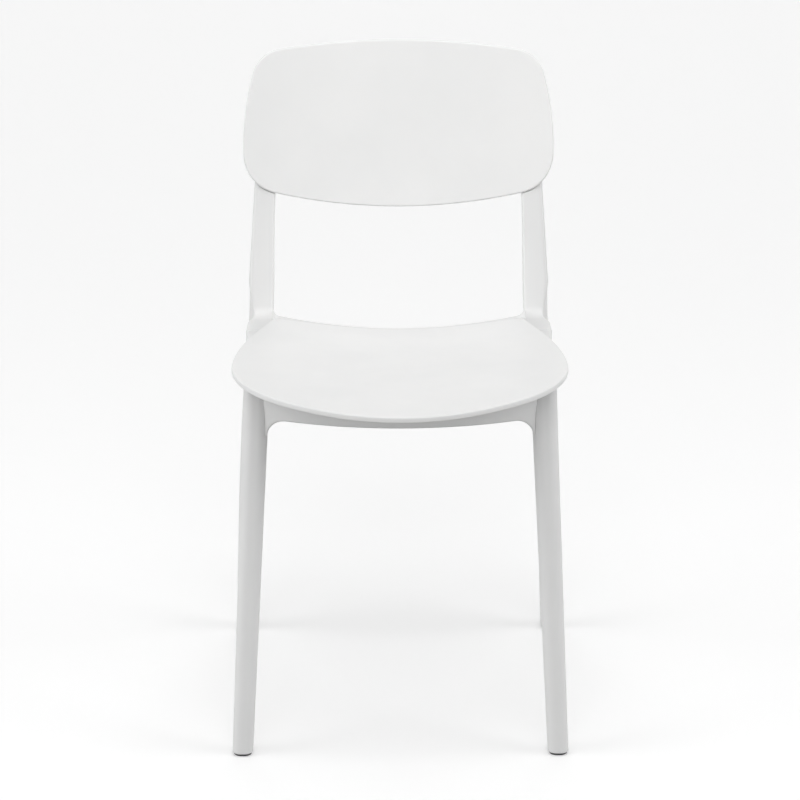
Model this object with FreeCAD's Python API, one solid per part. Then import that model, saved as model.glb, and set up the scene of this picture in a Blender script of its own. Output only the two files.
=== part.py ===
import FreeCAD, Part
import math
import os

# Stacking chair moulded in polypropylene, millimetres, +Z up.
# The origin is on the floor under the middle of the chair's outline box. The sitter faces -Y,
# so the front edge is at -Y and the sitter's left hand is at +X. Every left-hand piece is
# modelled at +X and mirrored for the right.

V = FreeCAD.Vector

# ---------- overall sizes ----------
TOTAL_HEIGHT = 820.0
SEAT_HEIGHT = 450.0            # top of the seat at the middle of its rear edge
SEAT_WIDTH = 412.0
SEAT_DEPTH = 422.0
SEAT_REAR_Y = 169.0            # rear edge of the seat, from the origin

# ---------- seat shell ----------
SEAT_FRONT_LENGTH = 183.0      # from the widest line to the front edge, a half ellipse
SEAT_REAR_WIDTH = 328.0        # between the rear corners before they are rounded
SEAT_REAR_TAPER = 0.244        # sideways per millimetre rearwards at the rear corners
SEAT_CORNER_RADIUS = 10.0
SEAT_SIDE_FULLNESS = 0.385     # curve handles of the swept sides, as a share of their length
SEAT_WIDEST_FULLNESS = 0.85    # the handle at the widest line, as a share of that
SEAT_RISE = 17.5               # the front is higher than the rear along the middle
SEAT_FRONT_DROP = 4.5          # the front edge rolls down by this much
SEAT_FRONT_ROLL = 50.0         # over this length
DISH_FRONT = 3.0               # how far the sides stand above the middle, front and rear,
DISH_REAR = 15.0               # measured DISH_HALF_WIDTH from the middle
DISH_HALF_WIDTH = 167.0
RIM_THICKNESS = 7.0
SHELL_THICKNESS = 4.2
RIM_WIDTH = 12.0
POCKET_MARGIN = 50.0           # solid border of the seat that stands on the frame
POCKET_CLEARANCE = 4.0         # from a hollow under the seat to the frame
RIB_THICKNESS = 2.6
RIB_CELLS = 10                 # squares of the rib grid each way
RIB_DEPTH = 9.0
FRONT_RIB_DEPTH = 2.8          # ribs ahead of the apron stay above the rim
SEAT_FILLET = 2.6

# ---------- back panel ----------
BACK_WIDTH = 406.0
BACK_HEIGHT = 215.0            # at the middle
BACK_THICKNESS = 6.0
BACK_RECLINE = 0.18            # rearwards per millimetre of height
BACK_CURVE_RADIUS = 1085.0     # hollow towards the sitter
BACK_TOP_RADIUS = 1156.0
BACK_BOTTOM_RADIUS = 660.0
BACK_SIDE_RADIUS = 345.0
BACK_TOP_CORNER = 42.0
BACK_BOTTOM_CORNER = 54.0
BACK_WIDEST_DROP = 135.0       # widest line below the top edge
BACK_FILLET = 2.4
BACK_SETBACK = 2.5             # panel's back face at a screw, behind the post's front
BACK_SCREW_SPACING = 46.0
BACK_SCREW_DROP = 42.0         # middle of the screws below the tip of the post

# ---------- rear legs and posts ----------
POST_TOP_DROP = 117.0          # tip of the post below the top of the panel
KNEE_RISE = 2.0                # the leg bends just above the seat's rear edge
KNEE_GAP = 5.0                 # leg behind the seat's rear edge
KNEE_DEPTH = 43.0
KNEE_OUTSIDE = 37.7            # leg's outer side beyond the seat's rear corner
KNEE_ROUNDING = 30.0           # softness of the bend in the front face, and in the back face
KNEE_BACK_ROUNDING = 60.0
REAR_LEG_RAKE = 0.093          # front face slopes forward by this much going up to the knee
REAR_LEG_BACK_RAKE = 0.0575    # back face, below the knee
POST_TIP_DEPTH = 19.2          # front to back at the tip, which sets the back face's slope
REAR_LEG_SPLAY = 0.040         # outer side, below the splay's bend
POST_SPLAY = 0.069             # outer side, above it
SPLAY_BEND = 0.53              # the bend's height over the seat's
REAR_LEG_WIDTH = 27.0
KNEE_SWELL = 7.2               # extra width at the knee
KNEE_SWELL_LENGTH = 115.0
REAR_LEG_RADIUS = 8.5
LEG_RADIUS_LIMIT = 0.48        # a leg's corner radius over its smaller side, at most
POST_TIP_FILLET = 4.0

# ---------- front legs ----------
FRONT_LEG_INSET = 32.2         # leg's middle inside the seat's widest side
FRONT_LEG_SETBACK = 127.7      # leg's front behind the seat's front edge, at seat height
FRONT_LEG_SPLAY = 0.0487
FRONT_LEG_RAKE = 0.1364
FRONT_LEG_WIDTH = 31.4         # at seat height
FRONT_LEG_DEPTH = 33.0
FRONT_LEG_TAPER = 0.0128       # loses this much width and depth per millimetre downwards
FRONT_LEG_ROUNDNESS = 0.42     # corner radius over width

# ---------- frame under the seat ----------
RAIL_BOTTOM_DROP = 27.0        # underside of the rails below SEAT_HEIGHT
RAIL_WIDTH = 22.0
RAIL_FILLET = 3.0
LUG_MARGIN = 1.0               # lug wider than its rail, each side
LUG_ROOT = 12.0                # lug's overlap with its leg
FRONT_LUG_INSET = 0.5          # front lug's middle inside the leg's
HEEL_ROOT = 6.0                # the post heel's overlap with the post
KNEE_ARC = 28.0                # hollow radius where a leg turns into its lug
POST_ARC = 25.0                # hollow radius where the lug's top turns up into the post
LUG_TOP_RISE = 14.0            # lug's top above SEAT_HEIGHT
FRONT_LUG_LENGTH = 46.0
REAR_LUG_LENGTH = 62.0
APRON_BOW = 37.6               # apron's middle ahead of its ends
APRON_THICKNESS = 20.0
APRON_BOTTOM_DROP = 29.0
APRON_BULGE = 38.0             # apron's middle ahead of the legs' front faces
APRON_SOLID_END = 16.0         # solid length at each end of the apron
APRON_LAP = 5.0                # gusset's face laps over the leg's rounded corner
GUSSET_RADIUS = 22.0
REAR_RAIL_DEPTH = 34.0
REAR_RAIL_FRONT = 18.0         # rail's front face ahead of the seat's rear edge
REAR_RAIL_DROP = 4.0           # rail's top below the seat's, at the middle
POST_FILLET = 10.0             # rail's top, level with the seat there, turns up into the post
CHANNEL_WALL = 3.6
CHANNEL_DEPTH = 25.0
CHANNEL_END = 24.0             # solid length at each end of a rail
CHANNEL_RIB = 2.4
CHANNEL_RIB_LIFT = 4.0         # ribs end this far above the underside
SIDE_RIB_PLACES = (0.36, 0.5, 0.64)
CROSS_RIBS = 9                 # ribs in the apron and in the rear rail
CROSS_RIB_SPAN = 120.0         # the outer ones from the middle
REAR_RAIL_SOLID_END = 30.0
REAR_RAIL_ROOF = 14.0          # top of the rear rail's channel below SEAT_HEIGHT

# ---------- joints ----------
FIT = 0.25                     # clearance round tongues and bosses
TONGUE_LENGTH = 15.0
TONGUE_ROOT = 2.0              # tongue's overlap with its rail
TONGUE_WIDTH = 12.0
TONGUE_HEIGHT = 16.0
TONGUE_BOTTOM = 9.0            # tongue above the rail's underside
TONGUE_MARGIN = 3.0            # wall beside a tongue
SEAT_SCREW_SINK = 6.0          # seat screw's head above the rail's underside
SEAT_SCREW_BITE = 1.0          # seat screw's tip above the underside of the seat's rim
SEAT_SCREW_PLACES = (0.25, 0.75)  # along the side rail
BOSS_RADIUS = 6.5
BOSS_LENGTH = 8.0
BOSS_ROOT = 3.0                # boss's overlap with its shell
BOSS_MARGIN = 2.5              # rear boss inside the seat's rear edge
COLUMN_RADIUS = 6.9            # column under a boss, inside a rail
BACK_BOSS_LENGTH = 5.0
BACK_SCREW_SINK = 7.0          # screw head below the back of the post
SCREW_RADIUS = 2.0
SCREW_HOLE_RADIUS = 2.3
SCREW_PILOT_RADIUS = 2.05
SCREW_TIP_RADIUS = 0.6
SCREW_TIP_LENGTH = 2.0
SCREW_END_GAP = 1.0            # from a screw's tip to the end of its plastic
SCREW_APPROACH = 20.0          # clear way in front of a head
APRON_SCREW_SINK = 0.5         # apron screw's head below the seat's clearance
APRON_SCREW_BITE = 10.0        # apron screw's end below the tongue's underside
BACK_PILOT_DEPTH = 2.5         # pilot hole into the panel behind its boss
BACK_SCREW_BITE = 1.5
HEAD_RADIUS = 4.2
HEAD_HEIGHT = 2.8
HEAD_HOLE_RADIUS = 4.7
DRIVE_RADIUS = 1.6
DRIVE_DEPTH = 1.6
HEAD_FILLET = 1.0
CAP_THICKNESS = 2.6
CAP_SINK = 0.4
CAP_CLEARANCE = 0.1
CAP_FILLET = 0.7

# ---------- floor glides and stacking pads ----------
GLIDE_HEIGHT = 3.2
GLIDE_INSET = 1.6              # glide's rim inside the leg's outline
GLIDE_STEM_RADIUS = 7.0
GLIDE_STEM_LENGTH = 24.0
GLIDE_DRAFT = 0.6              # stem is this much thinner at its top
GLIDE_FILLET = 1.2
PAD_LENGTH = 20.0
PAD_WIDTH = 11.0
PAD_HEIGHT = 3.0
PAD_FILLET = 1.2
PAD_PEG_RADIUS = 3.0
PAD_PEG_LENGTH = 8.0

# ---------- shapes that cut or overlap run past their piece by these ----------
REACH = 100.0
HEADROOM = 60.0                # above the seat
MARGIN = 20.0                  # beyond the seat or the panel, for a face made from a formula
ROOT = 1.0                     # small overlap of a piece's own features
TINY = 0.01

# ---------- values worked out from the sizes above ----------
seat_front_y = SEAT_REAR_Y - SEAT_DEPTH
seat_widest_y = seat_front_y + SEAT_FRONT_LENGTH
seat_half = SEAT_WIDTH / 2
rear_corner_x = SEAT_REAR_WIDTH / 2
rail_bottom = SEAT_HEIGHT - RAIL_BOTTOM_DROP
lug_top = SEAT_HEIGHT + LUG_TOP_RISE
knee_z = SEAT_HEIGHT + KNEE_RISE
post_top = TOTAL_HEIGHT - POST_TOP_DROP
above_seat = SEAT_HEIGHT + HEADROOM
lug_half = RAIL_WIDTH / 2 + LUG_MARGIN
post_back_recline = BACK_RECLINE - (KNEE_DEPTH - POST_TIP_DEPTH) / (post_top - knee_z)


# ---------- plain shapes ----------
def box(x0, x1, y0, y1, z0, z1):
    return Part.makeBox(x1 - x0, y1 - y0, z1 - z0, V(x0, y0, z0))


def cylinder(radius, start, direction, length):
    return Part.makeCylinder(radius, length, start, direction)


def prism(edges, vector):
    """Solid swept from a closed outline along a straight vector."""
    return Part.Face(Part.Wire(edges)).extrude(vector)


def line(a, b):
    return Part.LineSegment(a, b).toShape()


def arc(a, middle, b):
    return Part.Arc(a, middle, b).toShape()


def circle_point(centre, radius, towards):
    """Point of a circle on the side of another point."""
    direction = towards - centre
    return centre + direction * (radius / direction.Length)


def arc_about(centre, radius, a, b):
    """Short arc of a circle from a to b."""
    return arc(a, circle_point(centre, radius, (a + b) * 0.5), b)


def bend(z, at, low_slope, high_slope, rounding):
    """Smooth change from one slope below a height to another above it; zero at that height."""
    mean = (high_slope + low_slope) / 2
    turn = (high_slope - low_slope) / 2
    return mean * (z - at) + turn * (math.hypot(z - at, rounding) - rounding)


def mirrored(shape):
    return shape.mirror(V(0, 0, 0), V(1, 0, 0))


def formula_face(point, us, vs):
    """Smooth face through point(u, v) for a grid of u and v."""
    surface = Part.BSplineSurface()
    surface.interpolate([[point(u, v) for v in vs] for u in us])
    return surface.toShape()


def steps(first, last, count):
    return [first + (last - first) * i / (count - 1) for i in range(count)]


# ---------- seat ----------
def seat_top(x, y):
    """Height of the seat: sloping down rearwards, dished across, rolled down in front."""
    forward = (SEAT_REAR_Y - y) / SEAT_DEPTH
    height = SEAT_HEIGHT + SEAT_RISE * forward
    roll = max(0.0, seat_front_y + SEAT_FRONT_ROLL - y) / SEAT_FRONT_ROLL
    dish = DISH_REAR + (DISH_FRONT - DISH_REAR) * forward
    return height - SEAT_FRONT_DROP * roll ** 2 + dish * (x / DISH_HALF_WIDTH) ** 2


def seat_outline(grow):
    """Edges of the seat in plan, grown outwards: half ellipse, swept sides, square rear."""
    half = seat_half + grow
    length = SEAT_FRONT_LENGTH + grow
    ellipse = Part.Ellipse(V(0, seat_widest_y, 0), half, length)
    front = Part.Arc(ellipse, math.pi, 2 * math.pi).toShape()
    radius = SEAT_CORNER_RADIUS + grow
    rear_y = SEAT_REAR_Y + grow
    side = V(-SEAT_REAR_TAPER, 1, 0).normalize()
    corner = V(rear_corner_x + grow, rear_y, 0)
    turn = math.pi / 2 - math.atan(SEAT_REAR_TAPER)
    reach = radius * math.tan(turn / 2)
    start = corner - side * reach
    end = corner - V(reach, 0, 0)
    centre = end - V(0, radius, 0)
    handle = (SEAT_DEPTH - SEAT_FRONT_LENGTH) * SEAT_SIDE_FULLNESS
    widest = V(half, seat_widest_y, 0)
    curve = Part.BezierCurve()
    curve.setPoles([widest, widest + V(0, handle * SEAT_WIDEST_FULLNESS, 0), start - side * handle, start])
    right = [curve.toShape(), arc_about(centre, radius, start, end)]
    left = [mirrored(edge) for edge in right]
    return Part.__sortEdges__([front, *right, line(end, V(-end.x, end.y, 0)), *left])


def under_seat(depth, thickness):
    """Block whose top follows the seat, depth below it."""
    xs = steps(-seat_half - MARGIN, seat_half + MARGIN, 11)
    ys = steps(seat_front_y - MARGIN, SEAT_REAR_Y + MARGIN, 15)
    face = formula_face(lambda x, y: V(x, y, seat_top(x, y) - depth), xs, ys)
    return face.extrude(V(0, 0, -thickness))


def seat_column(grow):
    """Upright prism over the seat's plan."""
    shape = prism(seat_outline(grow), V(0, 0, 2 * REACH))
    shape.translate(V(0, 0, SEAT_HEIGHT - REACH))
    return shape


def seat_clearance():
    """Room that the frame leaves for the seat shell."""
    return under_seat(RIM_THICKNESS + FIT - HEADROOM, HEADROOM).common(seat_column(FIT))


def seat_bosses():
    """Plan points where screws hold the seat: two on each side rail, one front, one rear."""
    points = []
    for share in SEAT_SCREW_PLACES:
        rail = rail_point(share)
        points += [rail, V(-rail.x, rail.y, 0)]
    points.append(V(0, apron_front_y + APRON_THICKNESS / 2, 0))
    points.append(V(0, SEAT_REAR_Y - BOSS_RADIUS - BOSS_MARGIN, 0))
    return points


def boss_bottom(point):
    return seat_top(point.x, point.y) - RIM_THICKNESS - BOSS_LENGTH


def apron_column(radius):
    """Upright cylinder about the centre of the apron's bow."""
    return Part.makeCylinder(radius, 2 * REACH, V(0, apron_front_y + apron_radius, SEAT_HEIGHT - REACH))


def middle_pocket():
    """Hollow under the seat inside the frame."""
    rear = rear_rail_y0 - POCKET_CLEARANCE
    room = box(-seat_half, seat_half, seat_front_y, rear, SEAT_HEIGHT - REACH, SEAT_HEIGHT + REACH)
    radius = apron_radius - APRON_THICKNESS - POCKET_CLEARANCE
    return seat_column(-POCKET_MARGIN).common(room).common(apron_column(radius))


def front_pocket():
    """Hollow under the seat ahead of the apron."""
    return seat_column(-RIM_WIDTH).cut(apron_column(apron_radius + POCKET_CLEARANCE))


def rib_grid():
    """Upright walls both ways under the whole seat."""
    floor, ceiling = SEAT_HEIGHT - HEADROOM, SEAT_HEIGHT + HEADROOM
    half = RIB_THICKNESS / 2
    front, rear = seat_front_y, SEAT_REAR_Y
    bars = []
    for x in steps(-seat_half, seat_half, RIB_CELLS + 1)[1:-1]:
        bars.append(box(x - half, x + half, front, rear, floor, ceiling))
    for y in steps(front, rear, RIB_CELLS + 1)[1:-1]:
        bars.append(box(-seat_half, seat_half, y - half, y + half, floor, ceiling))
    return bars[0].fuse(bars[1:])


def seat_shell():
    slab = under_seat(0, RIM_THICKNESS).common(seat_column(0))
    rim = [e for e in slab.Edges if not is_upright(e)]
    shell = slab.makeFillet(SEAT_FILLET, rim)
    for pocket, depth in ((middle_pocket(), RIB_DEPTH), (front_pocket(), FRONT_RIB_DEPTH)):
        shell = shell.cut(under_seat(SHELL_THICKNESS, REACH / 2).common(pocket))
        layer = under_seat(SHELL_THICKNESS - ROOT, depth + ROOT)
        shell = shell.fuse(rib_grid().common(layer).common(pocket))
    for point in seat_bosses():
        start = V(point.x, point.y, boss_bottom(point))
        shell = shell.fuse(cylinder(BOSS_RADIUS, start, V(0, 0, 1), BOSS_LENGTH + BOSS_ROOT))
        shell = shell.cut(cylinder(SCREW_PILOT_RADIUS, start, V(0, 0, 1), BOSS_LENGTH + BOSS_ROOT))
    return shell.removeSplitter()


def is_upright(edge):
    """True for an edge whose two ends stand one above the other."""
    if len(edge.Vertexes) < 2:
        return False
    span = edge.Vertexes[1].Point - edge.Vertexes[0].Point
    return math.hypot(span.x, span.y) < 1e-3


# ---------- back panel ----------
def panel_y(x, z):
    """Front face of the back panel: reclined, and hollow across."""
    seated = post_front(back_middle_z) + BACK_SETBACK - BACK_THICKNESS
    hollow = (x ** 2 - post_middle_x(back_middle_z) ** 2) / (2 * BACK_CURVE_RADIUS)
    return seated + BACK_RECLINE * (z - back_middle_z) - hollow


def corner_centre(centre_a, radius_a, centre_b, radius_b, radius):
    """Centre of a corner arc that touches two larger arcs from inside, on the +X side."""
    ra, rb = radius_a - radius, radius_b - radius
    span = centre_b - centre_a
    along = (ra ** 2 - rb ** 2 + span.Length ** 2) / (2 * span.Length)
    across = math.sqrt(ra ** 2 - along ** 2)
    unit = span * (1 / span.Length)
    side = V(unit.z, 0, -unit.x)
    found = [centre_a + unit * along + side * (across * sign) for sign in (1, -1)]
    return max(found, key=lambda c: c.x)


def back_outline():
    """Edges of the back panel seen from the front: four long arcs and four corner arcs."""
    top = V(0, 0, TOTAL_HEIGHT - BACK_TOP_RADIUS)
    bottom = V(0, 0, TOTAL_HEIGHT - BACK_HEIGHT + BACK_BOTTOM_RADIUS)
    side = V(BACK_WIDTH / 2 - BACK_SIDE_RADIUS, 0, TOTAL_HEIGHT - BACK_WIDEST_DROP)
    upper = corner_centre(top, BACK_TOP_RADIUS, side, BACK_SIDE_RADIUS, BACK_TOP_CORNER)
    lower = corner_centre(bottom, BACK_BOTTOM_RADIUS, side, BACK_SIDE_RADIUS, BACK_BOTTOM_CORNER)
    a = circle_point(top, BACK_TOP_RADIUS, upper)
    b = circle_point(side, BACK_SIDE_RADIUS, upper)
    c = circle_point(side, BACK_SIDE_RADIUS, lower)
    d = circle_point(bottom, BACK_BOTTOM_RADIUS, lower)
    right = [
        arc_about(upper, BACK_TOP_CORNER, a, b),
        arc_about(side, BACK_SIDE_RADIUS, b, c),
        arc_about(lower, BACK_BOTTOM_CORNER, c, d),
    ]
    crest = arc(V(-a.x, 0, a.z), V(0, 0, TOTAL_HEIGHT), a)
    foot = arc(d, V(0, 0, TOTAL_HEIGHT - BACK_HEIGHT), V(-d.x, 0, d.z))
    return Part.__sortEdges__([crest, *right, foot, *[mirrored(edge) for edge in right]])


def behind_panel(depth, thickness):
    """Block whose front follows the panel's front, depth behind it."""
    half = BACK_WIDTH / 2 + MARGIN
    xs = steps(-half, half, 9)
    zs = steps(TOTAL_HEIGHT - BACK_HEIGHT - MARGIN, TOTAL_HEIGHT + MARGIN, 5)
    face = formula_face(lambda x, z: V(x, panel_y(x, z) + depth, z), xs, zs)
    return face.extrude(V(0, thickness, 0))


def back_screws():
    """Points on the post's middle line where the left post is screwed to the panel."""
    zs = (back_middle_z - BACK_SCREW_SPACING / 2, back_middle_z + BACK_SCREW_SPACING / 2)
    return [V(post_middle_x(z), 0, z) for z in zs]


def panel_boss(point, grow):
    """Round boss behind the panel; grown, it is the post's socket for it."""
    back = panel_y(point.x, point.z) + BACK_THICKNESS
    start = V(point.x, back - BOSS_ROOT, point.z)
    return cylinder(BOSS_RADIUS + grow, start, V(0, 1, 0), BACK_BOSS_LENGTH + BOSS_ROOT + grow)


def backrest_shell():
    column = prism(back_outline(), V(0, 4 * REACH, 0))
    slab = behind_panel(0, BACK_THICKNESS).common(column)
    rim = [e for e in slab.Edges if not runs_along_y(e)]
    shell = slab.makeFillet(BACK_FILLET, rim)
    for point in back_screws():
        for spot in (point, V(-point.x, 0, point.z)):
            shell = shell.fuse(panel_boss(spot, 0))
            end = panel_y(spot.x, spot.z) + BACK_THICKNESS + BACK_BOSS_LENGTH
            pilot = V(spot.x, end, spot.z)
            depth = BACK_BOSS_LENGTH + BACK_PILOT_DEPTH
            shell = shell.cut(cylinder(SCREW_PILOT_RADIUS, pilot, V(0, -1, 0), depth))
    return shell.removeSplitter()


def runs_along_y(edge):
    """True for an edge that joins the panel's front outline to its back outline."""
    if len(edge.Vertexes) < 2:
        return False
    span = edge.Vertexes[1].Point - edge.Vertexes[0].Point
    return math.hypot(span.x, span.z) < 1e-3


# ---------- legs ----------
def rounded_section(z, x0, x1, y0, y1, radius):
    """Closed rounded rectangle at one height, its corners never rounder than its walls allow."""
    r = min(radius, LEG_RADIUS_LIMIT * min(x1 - x0, y1 - y0))
    k = r * (1 - math.sqrt(0.5))
    edges = [
        line(V(x0 + r, y0, z), V(x1 - r, y0, z)),
        arc(V(x1 - r, y0, z), V(x1 - k, y0 + k, z), V(x1, y0 + r, z)),
        line(V(x1, y0 + r, z), V(x1, y1 - r, z)),
        arc(V(x1, y1 - r, z), V(x1 - k, y1 - k, z), V(x1 - r, y1, z)),
        line(V(x1 - r, y1, z), V(x0 + r, y1, z)),
        arc(V(x0 + r, y1, z), V(x0 + k, y1 - k, z), V(x0, y1 - r, z)),
        line(V(x0, y1 - r, z), V(x0, y0 + r, z)),
        arc(V(x0, y0 + r, z), V(x0 + k, y0 + k, z), V(x0 + r, y0, z)),
    ]
    return Part.Wire(edges)


def post_front(z):
    """Front face of the rear leg and post in side view."""
    return SEAT_REAR_Y + KNEE_GAP + bend(z, knee_z, -REAR_LEG_RAKE, BACK_RECLINE, KNEE_ROUNDING)


def post_back(z):
    slope = bend(z, knee_z, -REAR_LEG_BACK_RAKE, post_back_recline, KNEE_BACK_ROUNDING)
    return SEAT_REAR_Y + KNEE_GAP + KNEE_DEPTH + slope


def rear_outer(z):
    """Outer side of the rear leg in front view: splayed more above mid-height than below."""
    def lean(height):
        return bend(height, SEAT_HEIGHT * SPLAY_BEND, -REAR_LEG_SPLAY, -POST_SPLAY, KNEE_BACK_ROUNDING)

    return rear_corner_x + KNEE_OUTSIDE + lean(z) - lean(knee_z)


def rear_inner(z):
    swell = KNEE_SWELL * math.exp(-((z - knee_z) / KNEE_SWELL_LENGTH) ** 2)
    return rear_outer(z) - REAR_LEG_WIDTH - swell


def post_middle_x(z):
    return (rear_inner(z) + rear_outer(z)) / 2


def front_leg_size(full, z):
    return full - FRONT_LEG_TAPER * (knee_z - z)


def front_leg_x(z):
    """Middle of the front leg in front view."""
    return seat_half - FRONT_LEG_INSET + FRONT_LEG_SPLAY * (knee_z - z)


def front_leg_front(z):
    return seat_front_y + FRONT_LEG_SETBACK - FRONT_LEG_RAKE * (knee_z - z)


def front_leg_back(z):
    return front_leg_front(z) + front_leg_size(FRONT_LEG_DEPTH, z)


def front_leg_section(z, shrink=0.0):
    half = front_leg_size(FRONT_LEG_WIDTH, z) / 2 - shrink
    middle = front_leg_x(z)
    y0, y1 = front_leg_front(z) + shrink, front_leg_back(z) - shrink
    return rounded_section(z, middle - half, middle + half, y0, y1, 2 * FRONT_LEG_ROUNDNESS * half)


def rear_leg_section(z, shrink=0.0):
    x0, x1 = rear_inner(z) + shrink, rear_outer(z) - shrink
    y0, y1 = post_front(z) + shrink, post_back(z) - shrink
    return rounded_section(z, x0, x1, y0, y1, REAR_LEG_RADIUS - shrink)


def lug(x0, x1, wall_y, sign, length, wall_z):
    """Arm from a leg towards the side rail: flat underside, hollow arc down into the leg."""
    tip = wall_y + sign * length
    inside = wall_y - sign * LUG_ROOT
    turn = wall_y + sign * KNEE_ARC
    centre = V(x0, turn, rail_bottom - KNEE_ARC)
    low = V(x0, wall_y, rail_bottom - KNEE_ARC)
    high = V(x0, turn, rail_bottom)
    corners = [low, V(x0, inside, low.z), V(x0, inside, wall_z)]
    corners += [V(x0, tip, wall_z), V(x0, tip, rail_bottom)]
    edges = [line(a, b) for a, b in zip(corners, corners[1:])]
    edges.append(line(corners[-1], high))
    edges.append(arc_about(centre, KNEE_ARC, high, low))
    return prism(Part.__sortEdges__(edges), V(x1 - x0, 0, 0))


def glide_socket(x, y):
    length = GLIDE_STEM_LENGTH + 2 * FIT
    radius = GLIDE_STEM_RADIUS + FIT
    return Part.makeCone(radius, radius - GLIDE_DRAFT, length, V(x, y, GLIDE_HEIGHT), V(0, 0, 1))


def glide(x, y, section):
    """Foot plug: a disc of the leg's outline with a drafted stem inside the leg."""
    disc = Part.Face(section).extrude(V(0, 0, GLIDE_HEIGHT))
    disc.translate(V(0, 0, -section.BoundBox.ZMin))
    lower = [e for e in disc.Edges if e.BoundBox.ZMax < TINY]
    disc = disc.makeFillet(GLIDE_FILLET, lower)
    top = GLIDE_STEM_RADIUS - GLIDE_DRAFT
    base = V(x, y, GLIDE_HEIGHT - ROOT)
    stem = Part.makeCone(GLIDE_STEM_RADIUS, top, GLIDE_STEM_LENGTH, base, V(0, 0, 1))
    return disc.fuse(stem).removeSplitter()


def leg_loft(section, bottom, top, count):
    return Part.makeLoft([section(z) for z in steps(bottom, top, count)], True, count == 2)


def foot_middle(section):
    """Middle of a leg's outline at the top of its glide."""
    b = section(GLIDE_HEIGHT).BoundBox
    return (b.XMin + b.XMax) / 2, (b.YMin + b.YMax) / 2


# ---------- rails between the legs ----------
def rail_end(front):
    """Plan point on the side rail's middle line, at its front or rear end."""
    if front:
        return V(front_lug_x, front_leg_back(rail_bottom) + FRONT_LUG_LENGTH, 0)
    return V(rear_lug_x, post_front(rail_bottom) - REAR_LUG_LENGTH, 0)


def rail_point(share):
    return rail_end(True) + (rail_end(False) - rail_end(True)) * share


def bar(a, b, width, z0, z1):
    """Straight bar between two plan points."""
    along = (b - a).normalize()
    side = V(-along.y, along.x, 0) * (width / 2)
    base = V(0, 0, z0)
    corners = [a + side + base, b + side + base, b - side + base, a - side + base]
    edges = [line(p, q) for p, q in zip(corners, corners[1:] + corners[:1])]
    return prism(edges, V(0, 0, z1 - z0))


def tongue(start, direction, grow):
    """Tongue of a rail past its end; grown, it is the pocket that takes it."""
    z0 = rail_bottom + TONGUE_BOTTOM - grow
    z1 = z0 + TONGUE_HEIGHT + 2 * grow
    end = start + direction * (TONGUE_LENGTH + grow)
    return bar(start - direction * TONGUE_ROOT, end, TONGUE_WIDTH + 2 * grow, z0, z1)


def rail_axis():
    return (rail_end(False) - rail_end(True)).normalize()


def rail_joints():
    """Tongues of the left half of the frame: name, start, direction and where its screw enters."""
    along = rail_axis()
    return {
        "rail_front": (rail_end(True), along * -1, "below"),
        "rail_rear": (rail_end(False), along, "below"),
        "apron": (V(apron_end_x, apron_tongue_y, 0), V(1, 0, 0), "above"),
        "rear_rail": (V(rear_rail_end_x, rear_tongue_y, 0), V(1, 0, 0), "below"),
    }


def joint_screw(joint):
    """Where a tongue's screw starts, which way it points, and its length."""
    start, direction, side = joint
    spot = start + direction * (TONGUE_LENGTH / 2)
    if side == "below":
        return V(spot.x, spot.y, rail_bottom), V(0, 0, 1), TONGUE_BOTTOM + TONGUE_HEIGHT - SCREW_END_GAP
    top = seat_top(spot.x, spot.y) - RIM_THICKNESS - FIT - APRON_SCREW_SINK
    return V(spot.x, spot.y, top), V(0, 0, -1), top - rail_bottom - TONGUE_BOTTOM + APRON_SCREW_BITE


def screw(start, direction, length):
    """Pan-head screw, its head's outer face at start, with a round drive."""
    head = cylinder(HEAD_RADIUS, start, direction, HEAD_HEIGHT)
    outer = [e for e in head.Edges if abs((e.BoundBox.Center - start).dot(direction)) < TINY and e.Closed]
    head = head.makeFillet(HEAD_FILLET, outer)
    shank = cylinder(SCREW_RADIUS, start, direction, length - SCREW_TIP_LENGTH)
    tip = start + direction * (length - SCREW_TIP_LENGTH)
    point = Part.makeCone(SCREW_RADIUS, SCREW_TIP_RADIUS, SCREW_TIP_LENGTH, tip, direction)
    drive = cylinder(DRIVE_RADIUS, start - direction * ROOT, direction, DRIVE_DEPTH + ROOT)
    return head.fuse([shank, point]).cut(drive).removeSplitter()


def screw_room(start, direction, length):
    """Clearance for a screw's head and shank."""
    far = start - direction * SCREW_APPROACH
    head = cylinder(HEAD_HOLE_RADIUS, far, direction, SCREW_APPROACH + HEAD_HEIGHT)
    return head.fuse(cylinder(SCREW_HOLE_RADIUS, start, direction, length + ROOT))


# ---------- places worked out from the legs ----------
rear_lug_x = post_middle_x(rail_bottom)
front_lug_x = front_leg_x(rail_bottom) - FRONT_LUG_INSET
back_middle_z = post_top - BACK_SCREW_DROP
apron_bottom = SEAT_HEIGHT - APRON_BOTTOM_DROP
apron_front_y = front_leg_front(rail_bottom) - APRON_BULGE
apron_end_x = front_leg_x(rail_bottom) - front_leg_size(FRONT_LEG_WIDTH, rail_bottom) / 2
apron_radius = (apron_end_x ** 2 + APRON_BOW ** 2) / (2 * APRON_BOW)
apron_tongue_y = apron_front_y + APRON_BOW + APRON_THICKNESS - TONGUE_WIDTH / 2
rear_rail_y0 = SEAT_REAR_Y - REAR_RAIL_FRONT
rear_rail_end_x = rear_lug_x - lug_half
rear_tongue_y = rear_rail_y0 + TONGUE_WIDTH / 2 + TONGUE_MARGIN
seat_screw_z = rail_bottom + SEAT_SCREW_SINK


def front_leg_blank():
    """Front leg with its lug, before it is cut to the seat."""
    shaft = leg_loft(front_leg_section, GLIDE_HEIGHT, above_seat, 2)
    x0, x1 = front_lug_x - lug_half, front_lug_x + lug_half
    wall = front_leg_back(rail_bottom - KNEE_ARC)
    length = rail_end(True).y - wall
    arm = lug(x0, x1, wall, 1, length, above_seat)
    return shaft.fuse(arm)


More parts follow.
